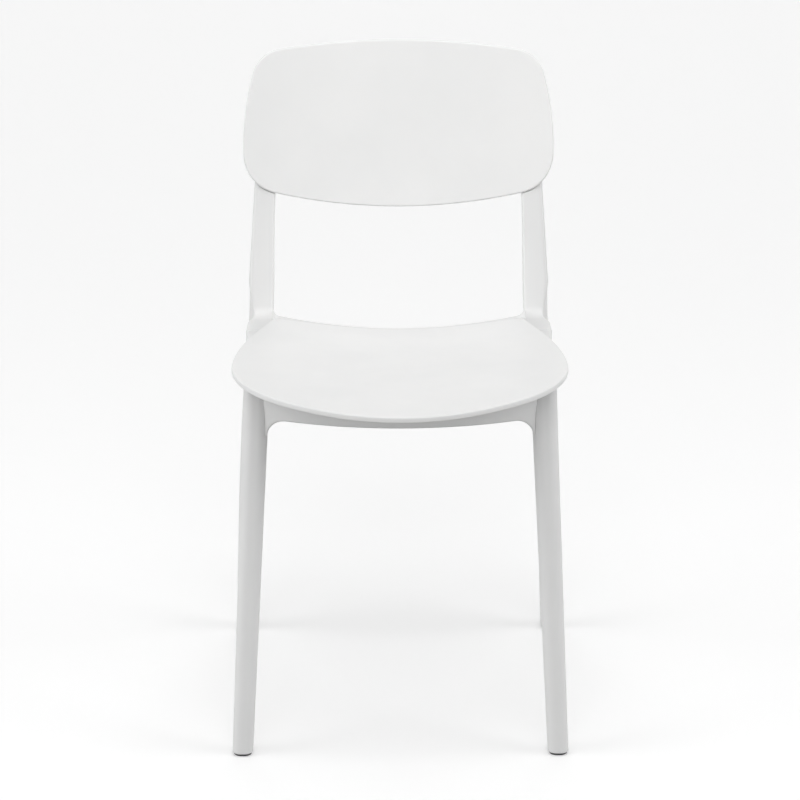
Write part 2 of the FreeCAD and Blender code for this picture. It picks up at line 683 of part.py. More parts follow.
def front_leg():
    leg = front_leg_blank().cut(seat_clearance())
    return finished_leg(leg, front_leg_section, ("rail_front", "apron"))


def rear_leg_blank():
    """Rear leg and post with the lug, before it is cut to the seat and the panel."""
    post = leg_loft(rear_leg_section, GLIDE_HEIGHT, post_top, 15)
    tip = [e for e in post.Edges if e.BoundBox.ZMin > post_top - TINY]
    post = post.makeFillet(POST_TIP_FILLET, tip)
    x0, x1 = rear_lug_x - lug_half, rear_lug_x + lug_half
    wall = post_front(rail_bottom - KNEE_ARC)
    arm = lug(x0, x1, wall, -1, wall - rail_end(False).y, lug_top)
    heel = post_heel(x0, x1)
    return post.fuse([arm, heel])


def rear_leg():
    panel_room = behind_panel(-HEADROOM, HEADROOM + BACK_THICKNESS + FIT)
    leg = rear_leg_blank().cut(seat_clearance()).cut(panel_room)
    for point in back_screws():
        leg = leg.cut(panel_boss(point, FIT))
        leg = leg.cut(screw_room(*back_screw(point)))
    return finished_leg(leg, rear_leg_section, ("rail_rear", "rear_rail"))


def post_heel(x0, x1):
    """Hollow arc from the top of the lug up into the front of the post."""
    face = post_front(lug_top + POST_ARC)
    low = V(x0, face - POST_ARC, lug_top)
    high = V(x0, face, lug_top + POST_ARC)
    centre = V(x0, face - POST_ARC, lug_top + POST_ARC)
    inside = V(x0, face + HEEL_ROOT, lug_top)
    edges = [arc_about(centre, POST_ARC, low, high), line(high, inside + V(0, 0, POST_ARC))]
    edges += [line(inside + V(0, 0, POST_ARC), inside), line(inside, low)]
    return prism(Part.__sortEdges__(edges), V(x1 - x0, 0, 0))


def finished_leg(leg, section, joints):
    """Leg with its tongue pockets, screw holes and glide socket."""
    for name in joints:
        start, direction, side = rail_joints()[name]
        leg = leg.cut(tongue(start, direction, FIT))
        leg = leg.cut(screw_room(*joint_screw((start, direction, side))))
    return leg.cut(glide_socket(*foot_middle(section))).removeSplitter()


def back_screw(point):
    """Start, direction and length of a screw from the back of the post into the panel."""
    start = V(point.x, post_back(point.z) - BACK_SCREW_SINK, point.z)
    tip = panel_y(point.x, point.z) + BACK_THICKNESS - BACK_SCREW_BITE
    return start, V(0, -1, 0), start.y - tip


def screw_cap(point):
    start = V(point.x, post_back(point.z) - CAP_THICKNESS - CAP_SINK, point.z)
    cap = cylinder(HEAD_HOLE_RADIUS - CAP_CLEARANCE, start, V(0, 1, 0), CAP_THICKNESS)
    rim = [e for e in cap.Edges if e.Closed and e.BoundBox.YMin > start.y + TINY]
    return cap.makeFillet(CAP_FILLET, rim)


def drop_screws(shape, points):
    """Holes, sockets and columns for the seat screws in a channel-shaped rail."""
    for point in points:
        start = V(point.x, point.y, seat_screw_z + HEAD_HEIGHT)
        height = boss_bottom(point) - start.z
        shape = shape.fuse(cylinder(COLUMN_RADIUS, start, V(0, 0, 1), height))
        shape = shape.cut(cylinder(SCREW_HOLE_RADIUS, start, V(0, 0, 1), height + ROOT))
        socket = V(point.x, point.y, boss_bottom(point) - FIT)
        shape = shape.cut(cylinder(BOSS_RADIUS + FIT, socket, V(0, 0, 1), REACH))
        shape = shape.cut(cylinder(HEAD_HOLE_RADIUS, start - V(0, 0, REACH), V(0, 0, 1), REACH))
    return shape


def side_rail():
    """Channel open downwards, with a tongue at each end and solid ends for the stacking pads."""
    a, b = rail_end(True), rail_end(False)
    along = rail_axis()
    spare = along * RAIL_FILLET
    rail = bar(a - spare, b + spare, RAIL_WIDTH, rail_bottom, above_seat)
    low = [e for e in rail.Edges if e.BoundBox.ZMax < rail_bottom + TINY and e.Length > 2 * RAIL_WIDTH]
    rail = rail.makeFillet(RAIL_FILLET, low).common(under_seat(RIM_THICKNESS + FIT, REACH))
    rail = rail.common(box(0, seat_half + MARGIN, a.y + FIT, b.y - FIT, 0, TOTAL_HEIGHT))
    inside = RAIL_WIDTH - 2 * CHANNEL_WALL
    start, end = a + along * CHANNEL_END, b - along * CHANNEL_END
    rail = rail.cut(bar(start, end, inside, rail_bottom - ROOT, rail_bottom + CHANNEL_DEPTH))
    low, high = rail_bottom + CHANNEL_RIB_LIFT, rail_bottom + CHANNEL_DEPTH + ROOT
    for share in SIDE_RIB_PLACES:
        middle = rail_point(share)
        half = along * (CHANNEL_RIB / 2)
        rail = rail.fuse(bar(middle - half, middle + half, inside + ROOT, low, high))
    for name in ("rail_front", "rail_rear"):
        joint = rail_joints()[name]
        rail = rail.fuse(tongue(joint[0], joint[1], 0)).cut(screw_room(*joint_screw(joint)))
    rail = drop_screws(rail, [rail_point(share) for share in SEAT_SCREW_PLACES])
    for point in pad_points():
        rail = rail.cut(cylinder(PAD_PEG_RADIUS + FIT / 2, point, V(0, 0, 1), PAD_PEG_LENGTH + ROOT))
    return rail.removeSplitter()


def pad_points():
    """Where the stacking pads plug into the underside of the left side rail."""
    share = CHANNEL_END / 2 / (rail_end(False) - rail_end(True)).Length
    return [rail_point(s) + V(0, 0, rail_bottom) for s in (share, 1 - share)]


def stacking_pad(point):
    """Rubber pad with a peg, under a solid end of the side rail."""
    half = rail_axis() * (PAD_LENGTH / 2)
    pad = bar(point - half, point + half, PAD_WIDTH, -PAD_HEIGHT, 0)
    pad = pad.makeFillet(PAD_WIDTH / 3, [e for e in pad.Edges if is_upright(e)])
    low = [e for e in pad.Edges if e.BoundBox.ZMax < point.z - PAD_HEIGHT + TINY]
    pad = pad.makeFillet(PAD_FILLET, low)
    return pad.fuse(cylinder(PAD_PEG_RADIUS, point, V(0, 0, 1), PAD_PEG_LENGTH)).removeSplitter()


def gusset_profile(bottom, leg_x, outer_x, y):
    """Lower outline of a cross rail seen from the front: level, with an arc down into each leg."""
    turn = bottom - GUSSET_RADIUS
    reach = leg_x(turn) - GUSSET_RADIUS
    centre = V(reach, y, turn)
    high, low = V(reach, y, bottom), V(leg_x(turn), y, turn)
    return [arc_about(centre, GUSSET_RADIUS, high, low), line(low, V(outer_x, y, turn))], high


def apron_band(inset):
    """Upright curved band between two arcs about one centre."""
    return apron_column(apron_radius - inset).cut(apron_column(apron_radius - APRON_THICKNESS + inset))


def front_apron():
    """Bowed channel between the front legs, with gussets that lap over their rounded corners."""
    y = apron_front_y - ROOT
    outer_x = apron_end_x + APRON_LAP

    def inner_x(z):
        return front_leg_x(z) - front_leg_size(FRONT_LEG_WIDTH, z) / 2

    lower, high = gusset_profile(apron_bottom, inner_x, outer_x, y)
    side = line(V(outer_x, y, apron_bottom - GUSSET_RADIUS), V(outer_x, y, above_seat))
    edges = lower + [side]
    edges += [mirrored(e) for e in edges]
    edges.append(line(high, V(-high.x, y, high.z)))
    edges.append(line(V(outer_x, y, above_seat), V(-outer_x, y, above_seat)))
    front = prism(Part.__sortEdges__(edges), V(0, REACH, 0))
    apron = front.common(apron_band(0)).cut(seat_clearance())
    blank = front_leg_blank()
    blank.translate(V(-FIT, -FIT, 0))
    for leg in (blank, mirrored(blank)):
        apron = apron.cut(leg)
    end, roof = apron_end_x - APRON_SOLID_END, rail_bottom + CHANNEL_DEPTH
    channel = box(-end, end, y, y + REACH, 0, roof)
    apron = apron.cut(apron_band(CHANNEL_WALL).common(channel))
    half = CHANNEL_RIB / 2
    for x in steps(-CROSS_RIB_SPAN, CROSS_RIB_SPAN, CROSS_RIBS):
        rib = box(x - half, x + half, y, y + REACH, apron_bottom + CHANNEL_RIB_LIFT, roof + ROOT)
        apron = apron.fuse(rib.common(apron_band(CHANNEL_WALL - ROOT)))
    joint = rail_joints()["apron"]
    start, direction, side = joint
    piece = tongue(start, direction, 0).cut(seat_clearance())
    room = screw_room(*joint_screw(joint))
    for shape, hole in ((piece, room), (mirrored(piece), mirrored(room))):
        apron = apron.fuse(shape).cut(hole)
    return drop_screws(apron, [seat_bosses()[4]]).removeSplitter()


def rear_rail():
    """Channel between the rear legs whose top follows the seat's rear edge and turns up the posts."""
    y = rear_rail_y0
    outer_x = rear_rail_end_x - FIT
    post_z = seat_top(rear_corner_x, SEAT_REAR_Y)
    post_x = rear_inner(post_z)
    lower, high = gusset_profile(rail_bottom, rear_inner, outer_x, y)
    turn_x = post_x - POST_FILLET
    turn_z = seat_top(turn_x, SEAT_REAR_Y)
    top = V(turn_x, y, turn_z)
    tip = V(post_x, y, turn_z + POST_FILLET)
    low_corner = V(outer_x, y, rail_bottom - GUSSET_RADIUS)
    shelf = V(outer_x, y, knee_z)
    edges = lower + [
        line(low_corner, shelf),
        line(shelf, V(post_x, y, knee_z)),
        line(V(post_x, y, knee_z), tip),
        arc_about(V(turn_x, y, tip.z), POST_FILLET, top, tip),
    ]
    edges += [mirrored(e) for e in edges]
    edges.append(line(high, V(-high.x, y, high.z)))
    middle = V(0, y, SEAT_HEIGHT - REAR_RAIL_DROP)
    edges.append(arc(top, middle, V(-top.x, y, top.z)))
    rail = prism(Part.__sortEdges__(edges), V(0, REAR_RAIL_DEPTH, 0)).cut(seat_clearance())
    blank = rear_leg_blank()
    blank.translate(V(-FIT, 0, 0))
    for leg in (blank, mirrored(blank)):
        rail = rail.cut(leg)
    y0, y1 = y + CHANNEL_WALL, y + REAR_RAIL_DEPTH - CHANNEL_WALL
    end, roof = outer_x - REAR_RAIL_SOLID_END, SEAT_HEIGHT - REAR_RAIL_ROOF
    rail = rail.cut(box(-end, end, y0, y1, 0, roof))
    half = CHANNEL_RIB / 2
    low = rail_bottom + CHANNEL_RIB_LIFT
    for x in steps(-CROSS_RIB_SPAN, CROSS_RIB_SPAN, CROSS_RIBS):
        rail = rail.fuse(box(x - half, x + half, y0 - ROOT, y1 + ROOT, low, roof + ROOT))
    joint = rail_joints()["rear_rail"]
    piece = tongue(joint[0] - joint[1] * FIT, joint[1], 0)
    room = screw_room(*joint_screw(joint))
    for shape, hole in ((piece, room), (mirrored(piece), mirrored(room))):
        rail = rail.fuse(shape).cut(hole)
    return drop_screws(rail, [seat_bosses()[5]]).removeSplitter()


# ---------- write one file for each piece ----------
def both_sides(shapes):
    return Part.makeCompound(shapes + [mirrored(shape) for shape in shapes])


def screws(names):
    return both_sides([screw(*joint_screw(rail_joints()[name])) for name in names])


def seat_screw(point):
    length = boss_bottom(point) + BOSS_LENGTH + SEAT_SCREW_BITE - seat_screw_z
    return screw(V(point.x, point.y, seat_screw_z), V(0, 0, 1), length)


def chair():
    """Every piece of the chair by name."""
    pieces = {
        "seat_shell": seat_shell(),
        "backrest_shell": backrest_shell(),
        "front_apron": front_apron(),
        "rear_rail": rear_rail(),
    }
    front_foot, rear_foot = foot_middle(front_leg_section), foot_middle(rear_leg_section)
    left = {
        "front_leg": front_leg(),
        "rear_leg": rear_leg(),
        "side_rail": side_rail(),
        "front_glide": glide(*front_foot, front_leg_section(GLIDE_HEIGHT, GLIDE_INSET)),
        "rear_glide": glide(*rear_foot, rear_leg_section(GLIDE_HEIGHT, GLIDE_INSET)),
        "front_stacking_pad": stacking_pad(pad_points()[0]),
        "rear_stacking_pad": stacking_pad(pad_points()[1]),
    }
    for name, shape in left.items():
        pieces["left_" + name] = shape
        pieces["right_" + name] = mirrored(shape)
    pieces["side_rail_screws"] = screws(["rail_front", "rail_rear"])
    pieces["apron_screws"] = screws(["apron"])
    pieces["rear_rail_screws"] = screws(["rear_rail"])
    pieces["seat_screws"] = Part.makeCompound([seat_screw(point) for point in seat_bosses()])
    pieces["backrest_screws"] = both_sides([screw(*back_screw(point)) for point in back_screws()])
    pieces["backrest_screw_caps"] = both_sides([screw_cap(point) for point in back_screws()])
    return pieces


os.makedirs("parts", exist_ok=True)
for name, shape in chair().items():
    assert shape.isValid(), name
    shape.exportStep("parts/" + name + ".step")
    print(f"{name}: {len(shape.Solids)} solid(s), {shape.Volume / 1000:.1f} cm3")
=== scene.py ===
# %% [markdown]
# # A stacking chair moulded in white polypropylene
# The chair is a dished seat and a curved back panel on a moulded frame: two straight front legs, two
# rear legs that bend at the seat and run on as posts, and rails that tie them together under the seat.
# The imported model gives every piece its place. This file builds the same pieces again as smooth skins
# with soft moulded edges, and gives them their plastic.

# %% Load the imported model
import math

import bpy
import numpy as np
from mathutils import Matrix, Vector


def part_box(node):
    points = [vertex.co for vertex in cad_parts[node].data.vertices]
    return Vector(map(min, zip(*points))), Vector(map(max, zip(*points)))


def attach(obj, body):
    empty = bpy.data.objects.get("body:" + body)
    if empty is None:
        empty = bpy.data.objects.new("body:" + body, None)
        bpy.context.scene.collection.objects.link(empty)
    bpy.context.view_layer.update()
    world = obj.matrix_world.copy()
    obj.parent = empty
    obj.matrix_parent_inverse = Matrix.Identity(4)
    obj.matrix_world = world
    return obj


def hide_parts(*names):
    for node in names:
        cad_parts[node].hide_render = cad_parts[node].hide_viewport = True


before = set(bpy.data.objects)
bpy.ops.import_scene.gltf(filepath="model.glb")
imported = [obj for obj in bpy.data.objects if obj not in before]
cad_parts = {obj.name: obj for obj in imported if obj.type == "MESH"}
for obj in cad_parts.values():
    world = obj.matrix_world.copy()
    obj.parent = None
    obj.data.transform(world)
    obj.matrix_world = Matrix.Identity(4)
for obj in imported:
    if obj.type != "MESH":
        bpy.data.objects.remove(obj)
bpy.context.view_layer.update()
print("packed nodes:", len(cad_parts))

# %% [markdown]
# ## Units and places
# Shapes are worked out in millimetres, as a moulder would, and turned into Blender's metres only when a
# mesh is made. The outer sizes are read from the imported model, so the new skins land on its pieces.

# %% Sizes read from the frame
MM = 0.001


def extent(node):
    """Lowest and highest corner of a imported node, in millimetres."""
    low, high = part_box(node)
    return np.array(low) / MM, np.array(high) / MM


seat_low, seat_high = extent("seat_shell")
back_low, back_high = extent("backrest_shell")
SEAT_DEPTH = 422.0
SEAT_HALF, SEAT_FRONT, SEAT_REAR = seat_high[0], seat_low[1], seat_low[1] + SEAT_DEPTH
BACK_HALF, BACK_TOP, BACK_BOTTOM = back_high[0], back_high[2], back_low[2]
POST_TIP = extent("left_rear_leg")[1][2]
GLIDE_HEIGHT = extent("left_front_leg")[0][2]
print("seat %.0f x %.0f mm, back %.0f mm wide" % (2 * SEAT_HALF, SEAT_REAR - SEAT_FRONT, 2 * BACK_HALF))

# %% [markdown]
# ## The chair's lines
# Each line of the chair is a short formula: the slope and dish of the seat, the lean of a leg, the bend
# at the knee. All the pieces share these formulas, so a rail meets its leg and the panel meets its posts
# without any fitting.

# %% Seat surface and leg lines
SEAT_HEIGHT = 450.0        # middle of the rear edge
SEAT_RISE = 17.5           # front higher than rear
FRONT_ROLL, FRONT_DROP = 50.0, 4.5
DISH_REAR, DISH_FRONT, DISH_HALF_WIDTH = 15.0, 3.0, 167.0
KNEE_Z = SEAT_HEIGHT + 2.0
KNEE_GAP, KNEE_DEPTH = 5.0, 43.0
BACK_RECLINE = 0.18
LEG_LEAN, KNEE_BEND = -0.093, 30.0      # front of a rear leg below the knee, and its turn there
BACK_LEAN, POST_LEAN, BACK_BEND = -0.0575, 0.0852, 60.0
SPLAY_Z, SPLAY_LOW, SPLAY_HIGH, SPLAY_BEND = SEAT_HEIGHT * 0.53, -0.040, -0.069, 60.0
KNEE_OUTER, REAR_LEG_WIDTH = 201.7, 27.0
KNEE_SWELL, SWELL_REACH = 7.2, 115.0
FRONT_LEG_INSET, FRONT_LEG_SPLAY = 32.2, 0.0487
FRONT_LEG_WIDTH, FRONT_LEG_TAPER = 31.4, 0.0128
FRONT_LEG_SETBACK, FRONT_LEG_RAKE = 127.7, 0.1364
FRONT_LEG_DEEPER = 1.6     # deeper than wide
SCREWS_Z = POST_TIP - 42.0 # middle of the panel's screws
PANEL_HOLLOW, PANEL_LET_IN, BACK_THICKNESS = 1085.0, 2.5, 6.0
RAIL_BOTTOM = SEAT_HEIGHT - 27.0
CLEARANCE = 0.25
RIM = 7.0                  # thickness of the seat at its rim
SKIN = 4.2                 # and between the ribs


def smooth(t):
    """0 below 0, 1 above 1, with a smooth change between."""
    t = np.clip(t, 0.0, 1.0)
    return t * t * (3.0 - 2.0 * t)


def bend(z, at, low_slope, high_slope, rounding):
    """Slope below a height changing smoothly to another above it: a hyperbola."""
    mean, turn = (high_slope + low_slope) / 2, (high_slope - low_slope) / 2
    return mean * (z - at) + turn * (np.hypot(z - at, rounding) - rounding)


def seat_top(x, y):
    """Seat height: a plane sloping down rearwards, plus a parabola across, minus a parabola in front."""
    forward = (SEAT_REAR - y) / (SEAT_REAR - SEAT_FRONT)
    roll = np.maximum(SEAT_FRONT + FRONT_ROLL - y, 0.0) / FRONT_ROLL
    dish = DISH_REAR + (DISH_FRONT - DISH_REAR) * forward
    return SEAT_HEIGHT + SEAT_RISE * forward - FRONT_DROP * roll**2 + dish * (x / DISH_HALF_WIDTH) ** 2


def post_front(z):
    """Front of a rear leg and its post: two slopes with a rounded knee between."""
    return SEAT_REAR + KNEE_GAP + bend(z, KNEE_Z, LEG_LEAN, BACK_RECLINE, KNEE_BEND)


def post_back(z):
    """Back of a rear leg and its post, bending more gently."""
    return SEAT_REAR + KNEE_GAP + KNEE_DEPTH + bend(z, KNEE_Z, BACK_LEAN, POST_LEAN, BACK_BEND)


def rear_outer(z):
    """Outer side of a rear leg, splayed more above mid-height than below it."""
    splay = (SPLAY_Z, SPLAY_LOW, SPLAY_HIGH, SPLAY_BEND)
    return KNEE_OUTER + bend(z, *splay) - bend(KNEE_Z, *splay)


def rear_inner(z):
    """Inner side: the leg's width, plus a bell curve that swells it at the knee."""
    return rear_outer(z) - REAR_LEG_WIDTH - KNEE_SWELL * np.exp(-(((z - KNEE_Z) / SWELL_REACH) ** 2))


def front_leg_x(z):
    """Middle line of a front leg in front view: straight, splayed towards the foot."""
    return SEAT_HALF - FRONT_LEG_INSET + FRONT_LEG_SPLAY * (KNEE_Z - z)


def front_leg_width(z):
    """A little less towards the foot."""
    return FRONT_LEG_WIDTH - FRONT_LEG_TAPER * (KNEE_Z - z)


def front_leg_front(z):
    """Front of a front leg: straight, raked forward towards the foot."""
    return SEAT_FRONT + FRONT_LEG_SETBACK - FRONT_LEG_RAKE * (KNEE_Z - z)


def front_leg_back(z):
    """Back of a front leg."""
    return front_leg_front(z) + front_leg_width(z) + FRONT_LEG_DEEPER


def panel_front(x, z):
    """Front face of the back panel: a plane leaning back, hollowed by a parabola towards the sitter."""
    post_x = (rear_inner(SCREWS_Z) + rear_outer(SCREWS_Z)) / 2
    seated = post_front(SCREWS_Z) + PANEL_LET_IN - BACK_THICKNESS
    return seated + BACK_RECLINE * (z - SCREWS_Z) - (x**2 - post_x**2) / (2 * PANEL_HOLLOW)


print("knee %.0f mm, rails %.0f mm above the floor" % (KNEE_Z, RAIL_BOTTOM))

# %% [markdown]
# ## Outlines
# The seat and the panel are each cut out by one closed outline. Seen from above, the seat is half an
# ellipse in front, two swept sides and a straight rear edge with small corners. Seen from the front, the
# panel is four long arcs joined by four corner arcs. An outline is kept as evenly spaced points with
# their outward normals, packed closer where it turns, so that small corners come out round.

# %% Closed outlines
def arc(centre, radius, start, end, count=160):
    """Points of a circle between two angles."""
    a = np.linspace(start, end, count)
    return np.stack([centre[0] + radius * np.cos(a), centre[1] + radius * np.sin(a)], 1)


def close_up(points, count, corner_weight):
    """Outline resampled to a count of points, with more of them where it turns sharply."""
    points = points[np.hypot(*(points - np.roll(points, 1, 0)).T) > 1e-6]
    step = np.roll(points, -1, 0) - points
    length = np.hypot(*step.T)
    heading = np.arctan2(step[:, 1], step[:, 0])
    turn = np.abs((np.roll(heading, -1) - heading + np.pi) % (2 * np.pi) - np.pi)
    travel = np.concatenate([[0.0], np.cumsum(length + corner_weight * turn)])
    ring = np.vstack([points, points[:1]])
    at = np.linspace(0.0, travel[-1], count, endpoint=False)
    return np.stack([np.interp(at, travel, ring[:, k]) for k in (0, 1)], 1)


def outward(points):
    """Unit normals of an anticlockwise outline."""
    along = np.roll(points, -1, 0) - np.roll(points, 1, 0)
    normal = np.stack([along[:, 1], -along[:, 0]], 1)
    return normal / np.linalg.norm(normal, axis=1)[:, None]


def edge_distance(points, centre):
    """Function giving the distance outside an outline: radius less the outline's, times its slope."""
    arm = points - centre
    angle, radius = np.arctan2(arm[:, 1], arm[:, 0]), np.hypot(*arm.T)
    order = np.argsort(angle)
    angle, radius = angle[order], radius[order]
    facing = np.sum(outward(points) * arm, 1)[order] / radius

    def distance(a, b):
        theta = np.arctan2(b - centre[1], a - centre[0])
        edge = np.interp(theta, angle, radius, period=2 * np.pi)
        slope = np.interp(theta, angle, facing, period=2 * np.pi)
        return (np.hypot(a - centre[0], b - centre[1]) - edge) * slope

    return distance


# %% Outline of the seat
SEAT_CENTRE = np.array([0.0, -20.0])
FRONT_LENGTH = 183.0
REAR_CORNER_X, REAR_TAPER, CORNER_RADIUS = 164.0, 0.244, 10.0
SIDE_PULL, SIDE_FULLNESS = 0.385, 0.85       # handles of the swept side


def seat_outline():
    """Half ellipse, a Bezier side, a corner arc, and the same mirrored."""
    widest = np.array([SEAT_HALF, SEAT_FRONT + FRONT_LENGTH])
    t = np.linspace(-np.pi / 2, 0.0, 600)
    front = np.stack([SEAT_HALF * np.cos(t), widest[1] + FRONT_LENGTH * np.sin(t)], 1)
    side = np.array([-REAR_TAPER, 1.0]) / math.hypot(REAR_TAPER, 1.0)
    turn = math.pi / 2 - math.atan(REAR_TAPER)
    reach = CORNER_RADIUS * math.tan(turn / 2)
    corner = np.array([REAR_CORNER_X, SEAT_REAR])
    start = corner - side * reach
    handle = (SEAT_REAR - widest[1]) * SIDE_PULL
    poles = [widest, widest + [0, handle * SIDE_FULLNESS], start - side * handle, start]
    s = np.linspace(0.0, 1.0, 600)[:, None]
    weights = [(1 - s) ** 3, 3 * s * (1 - s) ** 2, 3 * s**2 * (1 - s), s**3]
    swept = sum(w * p for w, p in zip(weights, poles))
    centre = corner - [reach, CORNER_RADIUS]
    rounded = arc(centre, CORNER_RADIUS, math.atan(REAR_TAPER), math.pi / 2)
    rear = np.linspace(rounded[-1], [0.0, SEAT_REAR], 200)
    half = np.vstack([front, swept[1:], rounded[1:], rear[1:]])
    return np.vstack([half, (half * [-1, 1])[::-1][1:-1]])


seat_line = seat_outline()
seat_edge = edge_distance(close_up(seat_line, 4000, 0.0), SEAT_CENTRE)
print("seat outline: %.0f mm round" % np.hypot(*(seat_line - np.roll(seat_line, 1, 0)).T).sum())

# %% Outline of the back panel
BACK_CENTRE = np.array([0.0, BACK_TOP - 108.0])
TOP_RADIUS, BOTTOM_RADIUS, SIDE_RADIUS = 1156.0, 660.0, 345.0
TOP_CORNER, BOTTOM_CORNER = 42.0, 54.0
WIDEST_DROP = 135.0        # widest line below the top edge


def corner_centre(a, radius_a, b, radius_b, radius):
    """Centre of a corner arc that touches two larger arcs from inside, on the +X side."""
    ra, rb, span = radius_a - radius, radius_b - radius, b - a
    size = np.hypot(*span)
    along = (ra**2 - rb**2 + size**2) / (2 * size)
    across = math.sqrt(ra**2 - along**2)
    side = np.array([span[1], -span[0]]) / size
    return max((a + span / size * along + side * across * s for s in (1, -1)), key=lambda c: c[0])


def direction(centre, point):
    """Angle from a centre to a point."""
    return math.atan2(point[1] - centre[1], point[0] - centre[0])


def back_outline():
    """Right half from the bottom middle to the top middle, then mirrored."""
    top = np.array([0.0, BACK_TOP - TOP_RADIUS])
    bottom = np.array([0.0, BACK_BOTTOM + BOTTOM_RADIUS])
    side = np.array([BACK_HALF - SIDE_RADIUS, BACK_TOP - WIDEST_DROP])
    upper = corner_centre(top, TOP_RADIUS, side, SIDE_RADIUS, TOP_CORNER)
    lower = corner_centre(bottom, BOTTOM_RADIUS, side, SIDE_RADIUS, BOTTOM_CORNER)
    half = [
        arc(bottom, BOTTOM_RADIUS, -math.pi / 2, direction(bottom, lower), 400),
        arc(lower, BOTTOM_CORNER, direction(bottom, lower), direction(side, lower))[1:],
        arc(side, SIDE_RADIUS, direction(side, lower), direction(side, upper), 300)[1:],
        arc(upper, TOP_CORNER, direction(side, upper), direction(top, upper))[1:],
        arc(top, TOP_RADIUS, direction(top, upper), math.pi / 2, 400)[1:],
    ]
    half = np.vstack(half)
    return np.vstack([half, (half * [-1, 1])[::-1][1:-1]])


back_line = back_outline()
back_edge = edge_distance(close_up(back_line, 4000, 0.0), BACK_CENTRE)
print("back outline: %.0f mm round" % np.hypot(*(back_line - np.roll(back_line, 1, 0)).T).sum())

# %% [markdown]
# ## White polypropylene
# Injection-moulded polypropylene is white with a satin skin. The frame's copy is a touch greyer: that is
# painted shade, darkening the legs, posts and rails. Steel moulds leave a fine spark-eroded grain, the flow
# of the melt leaves slow waves and faint changes of gloss, and light sinks a little way into the plastic,
# which softens its shadows. All patterns are noise on Object coordinates, in metres, so they stay on the
# pieces at their real scale.

# %% Plastic material
# repeats per metre
DRIFT_SCALE, WAVE_SCALE, SHEEN_SCALE, GRAIN_SCALE = 9.0, 28.0, 55.0, 2300.0
WAVE_DEPTH = 0.0004
SATIN_IOR, GLOW_REACH, GLOW_SPREAD = 1.49, 0.0025, (1.0, 0.95, 0.9)


def noise_node(tree, coordinates, scale, detail, roughness=0.5):
    """Noise at a number of repeats per metre."""
    node = tree.nodes.new("ShaderNodeTexNoise")
    node.inputs["Scale"].default_value = scale
    node.inputs["Detail"].default_value = detail
    node.inputs["Roughness"].default_value = roughness
    tree.links.new(coordinates, node.inputs["Vector"])
    return node.outputs["Fac"]


def ramp_node(tree, factor, stops):
    """Colour ramp through (place, colour) stops."""
    node = tree.nodes.new("ShaderNodeValToRGB")
    elements = node.color_ramp.elements
    while len(elements) < len(stops):
        elements.new(0.5)
    for element, (place, colour) in zip(elements, stops):
        element.position = place
        element.color = (*colour, 1.0)
    tree.links.new(factor, node.inputs["Fac"])
    return node.outputs["Color"]


def bump_node(tree, height, distance, strength, below=None):
    """Bump of a height in metres, on top of another bump."""
    node = tree.nodes.new("ShaderNodeBump")
    node.inputs["Distance"].default_value = distance
    node.inputs["Strength"].default_value = strength
    tree.links.new(height, node.inputs["Height"])
    if below is not None:
        tree.links.new(below, node.inputs["Normal"])
    return node.outputs["Normal"]


def range_node(tree, value, low, high, start=0.3, end=0.7):
    """Value between start and end, carried over to low and high."""
    node = tree.nodes.new("ShaderNodeMapRange")
    for name, number in (("From Min", start), ("From Max", end), ("To Min", low), ("To Max", high)):
        node.inputs[name].default_value = number
    tree.links.new(value, node.inputs["Value"])
    return node.outputs["Result"]


def moulded(name, dark, light, gloss, grain, subsurface):
    """Satin plastic: colour drifts between two tints, gloss between two roughnesses, grain in microns."""
    material = bpy.data.materials.new(name)
    material.use_nodes = True
    tree = material.node_tree
    shader = tree.nodes["Principled BSDF"]
    place = tree.nodes.new("ShaderNodeTexCoord").outputs["Object"]
    drift = noise_node(tree, place, DRIFT_SCALE, 3.0)
    tree.links.new(ramp_node(tree, drift, [(0.3, dark), (0.7, light)]), shader.inputs["Base Color"])
    sheen = noise_node(tree, place, SHEEN_SCALE, 4.0, 0.6)
    tree.links.new(range_node(tree, sheen, gloss[0], gloss[1]), shader.inputs["Roughness"])
    waves = bump_node(tree, noise_node(tree, place, WAVE_SCALE, 1.0), WAVE_DEPTH, 0.25)
    skin_grain = bump_node(tree, noise_node(tree, place, GRAIN_SCALE, 2.0), grain * 1e-6, 0.6, waves)
    tree.links.new(skin_grain, shader.inputs["Normal"])
    shader.inputs["IOR"].default_value = SATIN_IOR
    shader.inputs["Subsurface Weight"].default_value = subsurface
    shader.inputs["Subsurface Radius"].default_value = GLOW_SPREAD
    shader.inputs["Subsurface Scale"].default_value = GLOW_REACH
    return material


WHITE_LOW, WHITE_HIGH = (0.830, 0.832, 0.828), (0.862, 0.862, 0.856)
# Frame tints: the seat's white made darker, painted shade for the legs, posts and rails.
FRAME_SHADED_LOW, FRAME_SHADED_HIGH = (0.788, 0.790, 0.787), (0.818, 0.818, 0.813)
seat_plastic = moulded("seat_polypropylene", WHITE_LOW, WHITE_HIGH, (0.40, 0.52), 16.0, 0.08)
back_plastic = moulded("back_polypropylene", WHITE_LOW, WHITE_HIGH, (0.42, 0.54), 14.0, 0.08)
frame_plastic = moulded("frame_polypropylene_painted_shade", FRAME_SHADED_LOW, FRAME_SHADED_HIGH, (0.36, 0.48), 10.0, 0.08)
CAP_LOW, CAP_HIGH = (0.80, 0.80, 0.79), (0.84, 0.84, 0.83)
cap_plastic = moulded("cap_polyethylene", CAP_LOW, CAP_HIGH, (0.30, 0.40), 6.0, 0.08)
DARK_LOW, DARK_HIGH = (0.045, 0.046, 0.048), (0.075, 0.076, 0.078)
GREY_LOW, GREY_HIGH = (0.16, 0.16, 0.165), (0.22, 0.22, 0.225)
glide_plastic = moulded("glide_polyamide", DARK_LOW, DARK_HIGH, (0.45, 0.65), 22.0, 0.0)
pad_rubber = moulded("pad_rubber", GREY_LOW, GREY_HIGH, (0.70, 0.85), 30.0, 0.0)
print("plastics: 6")

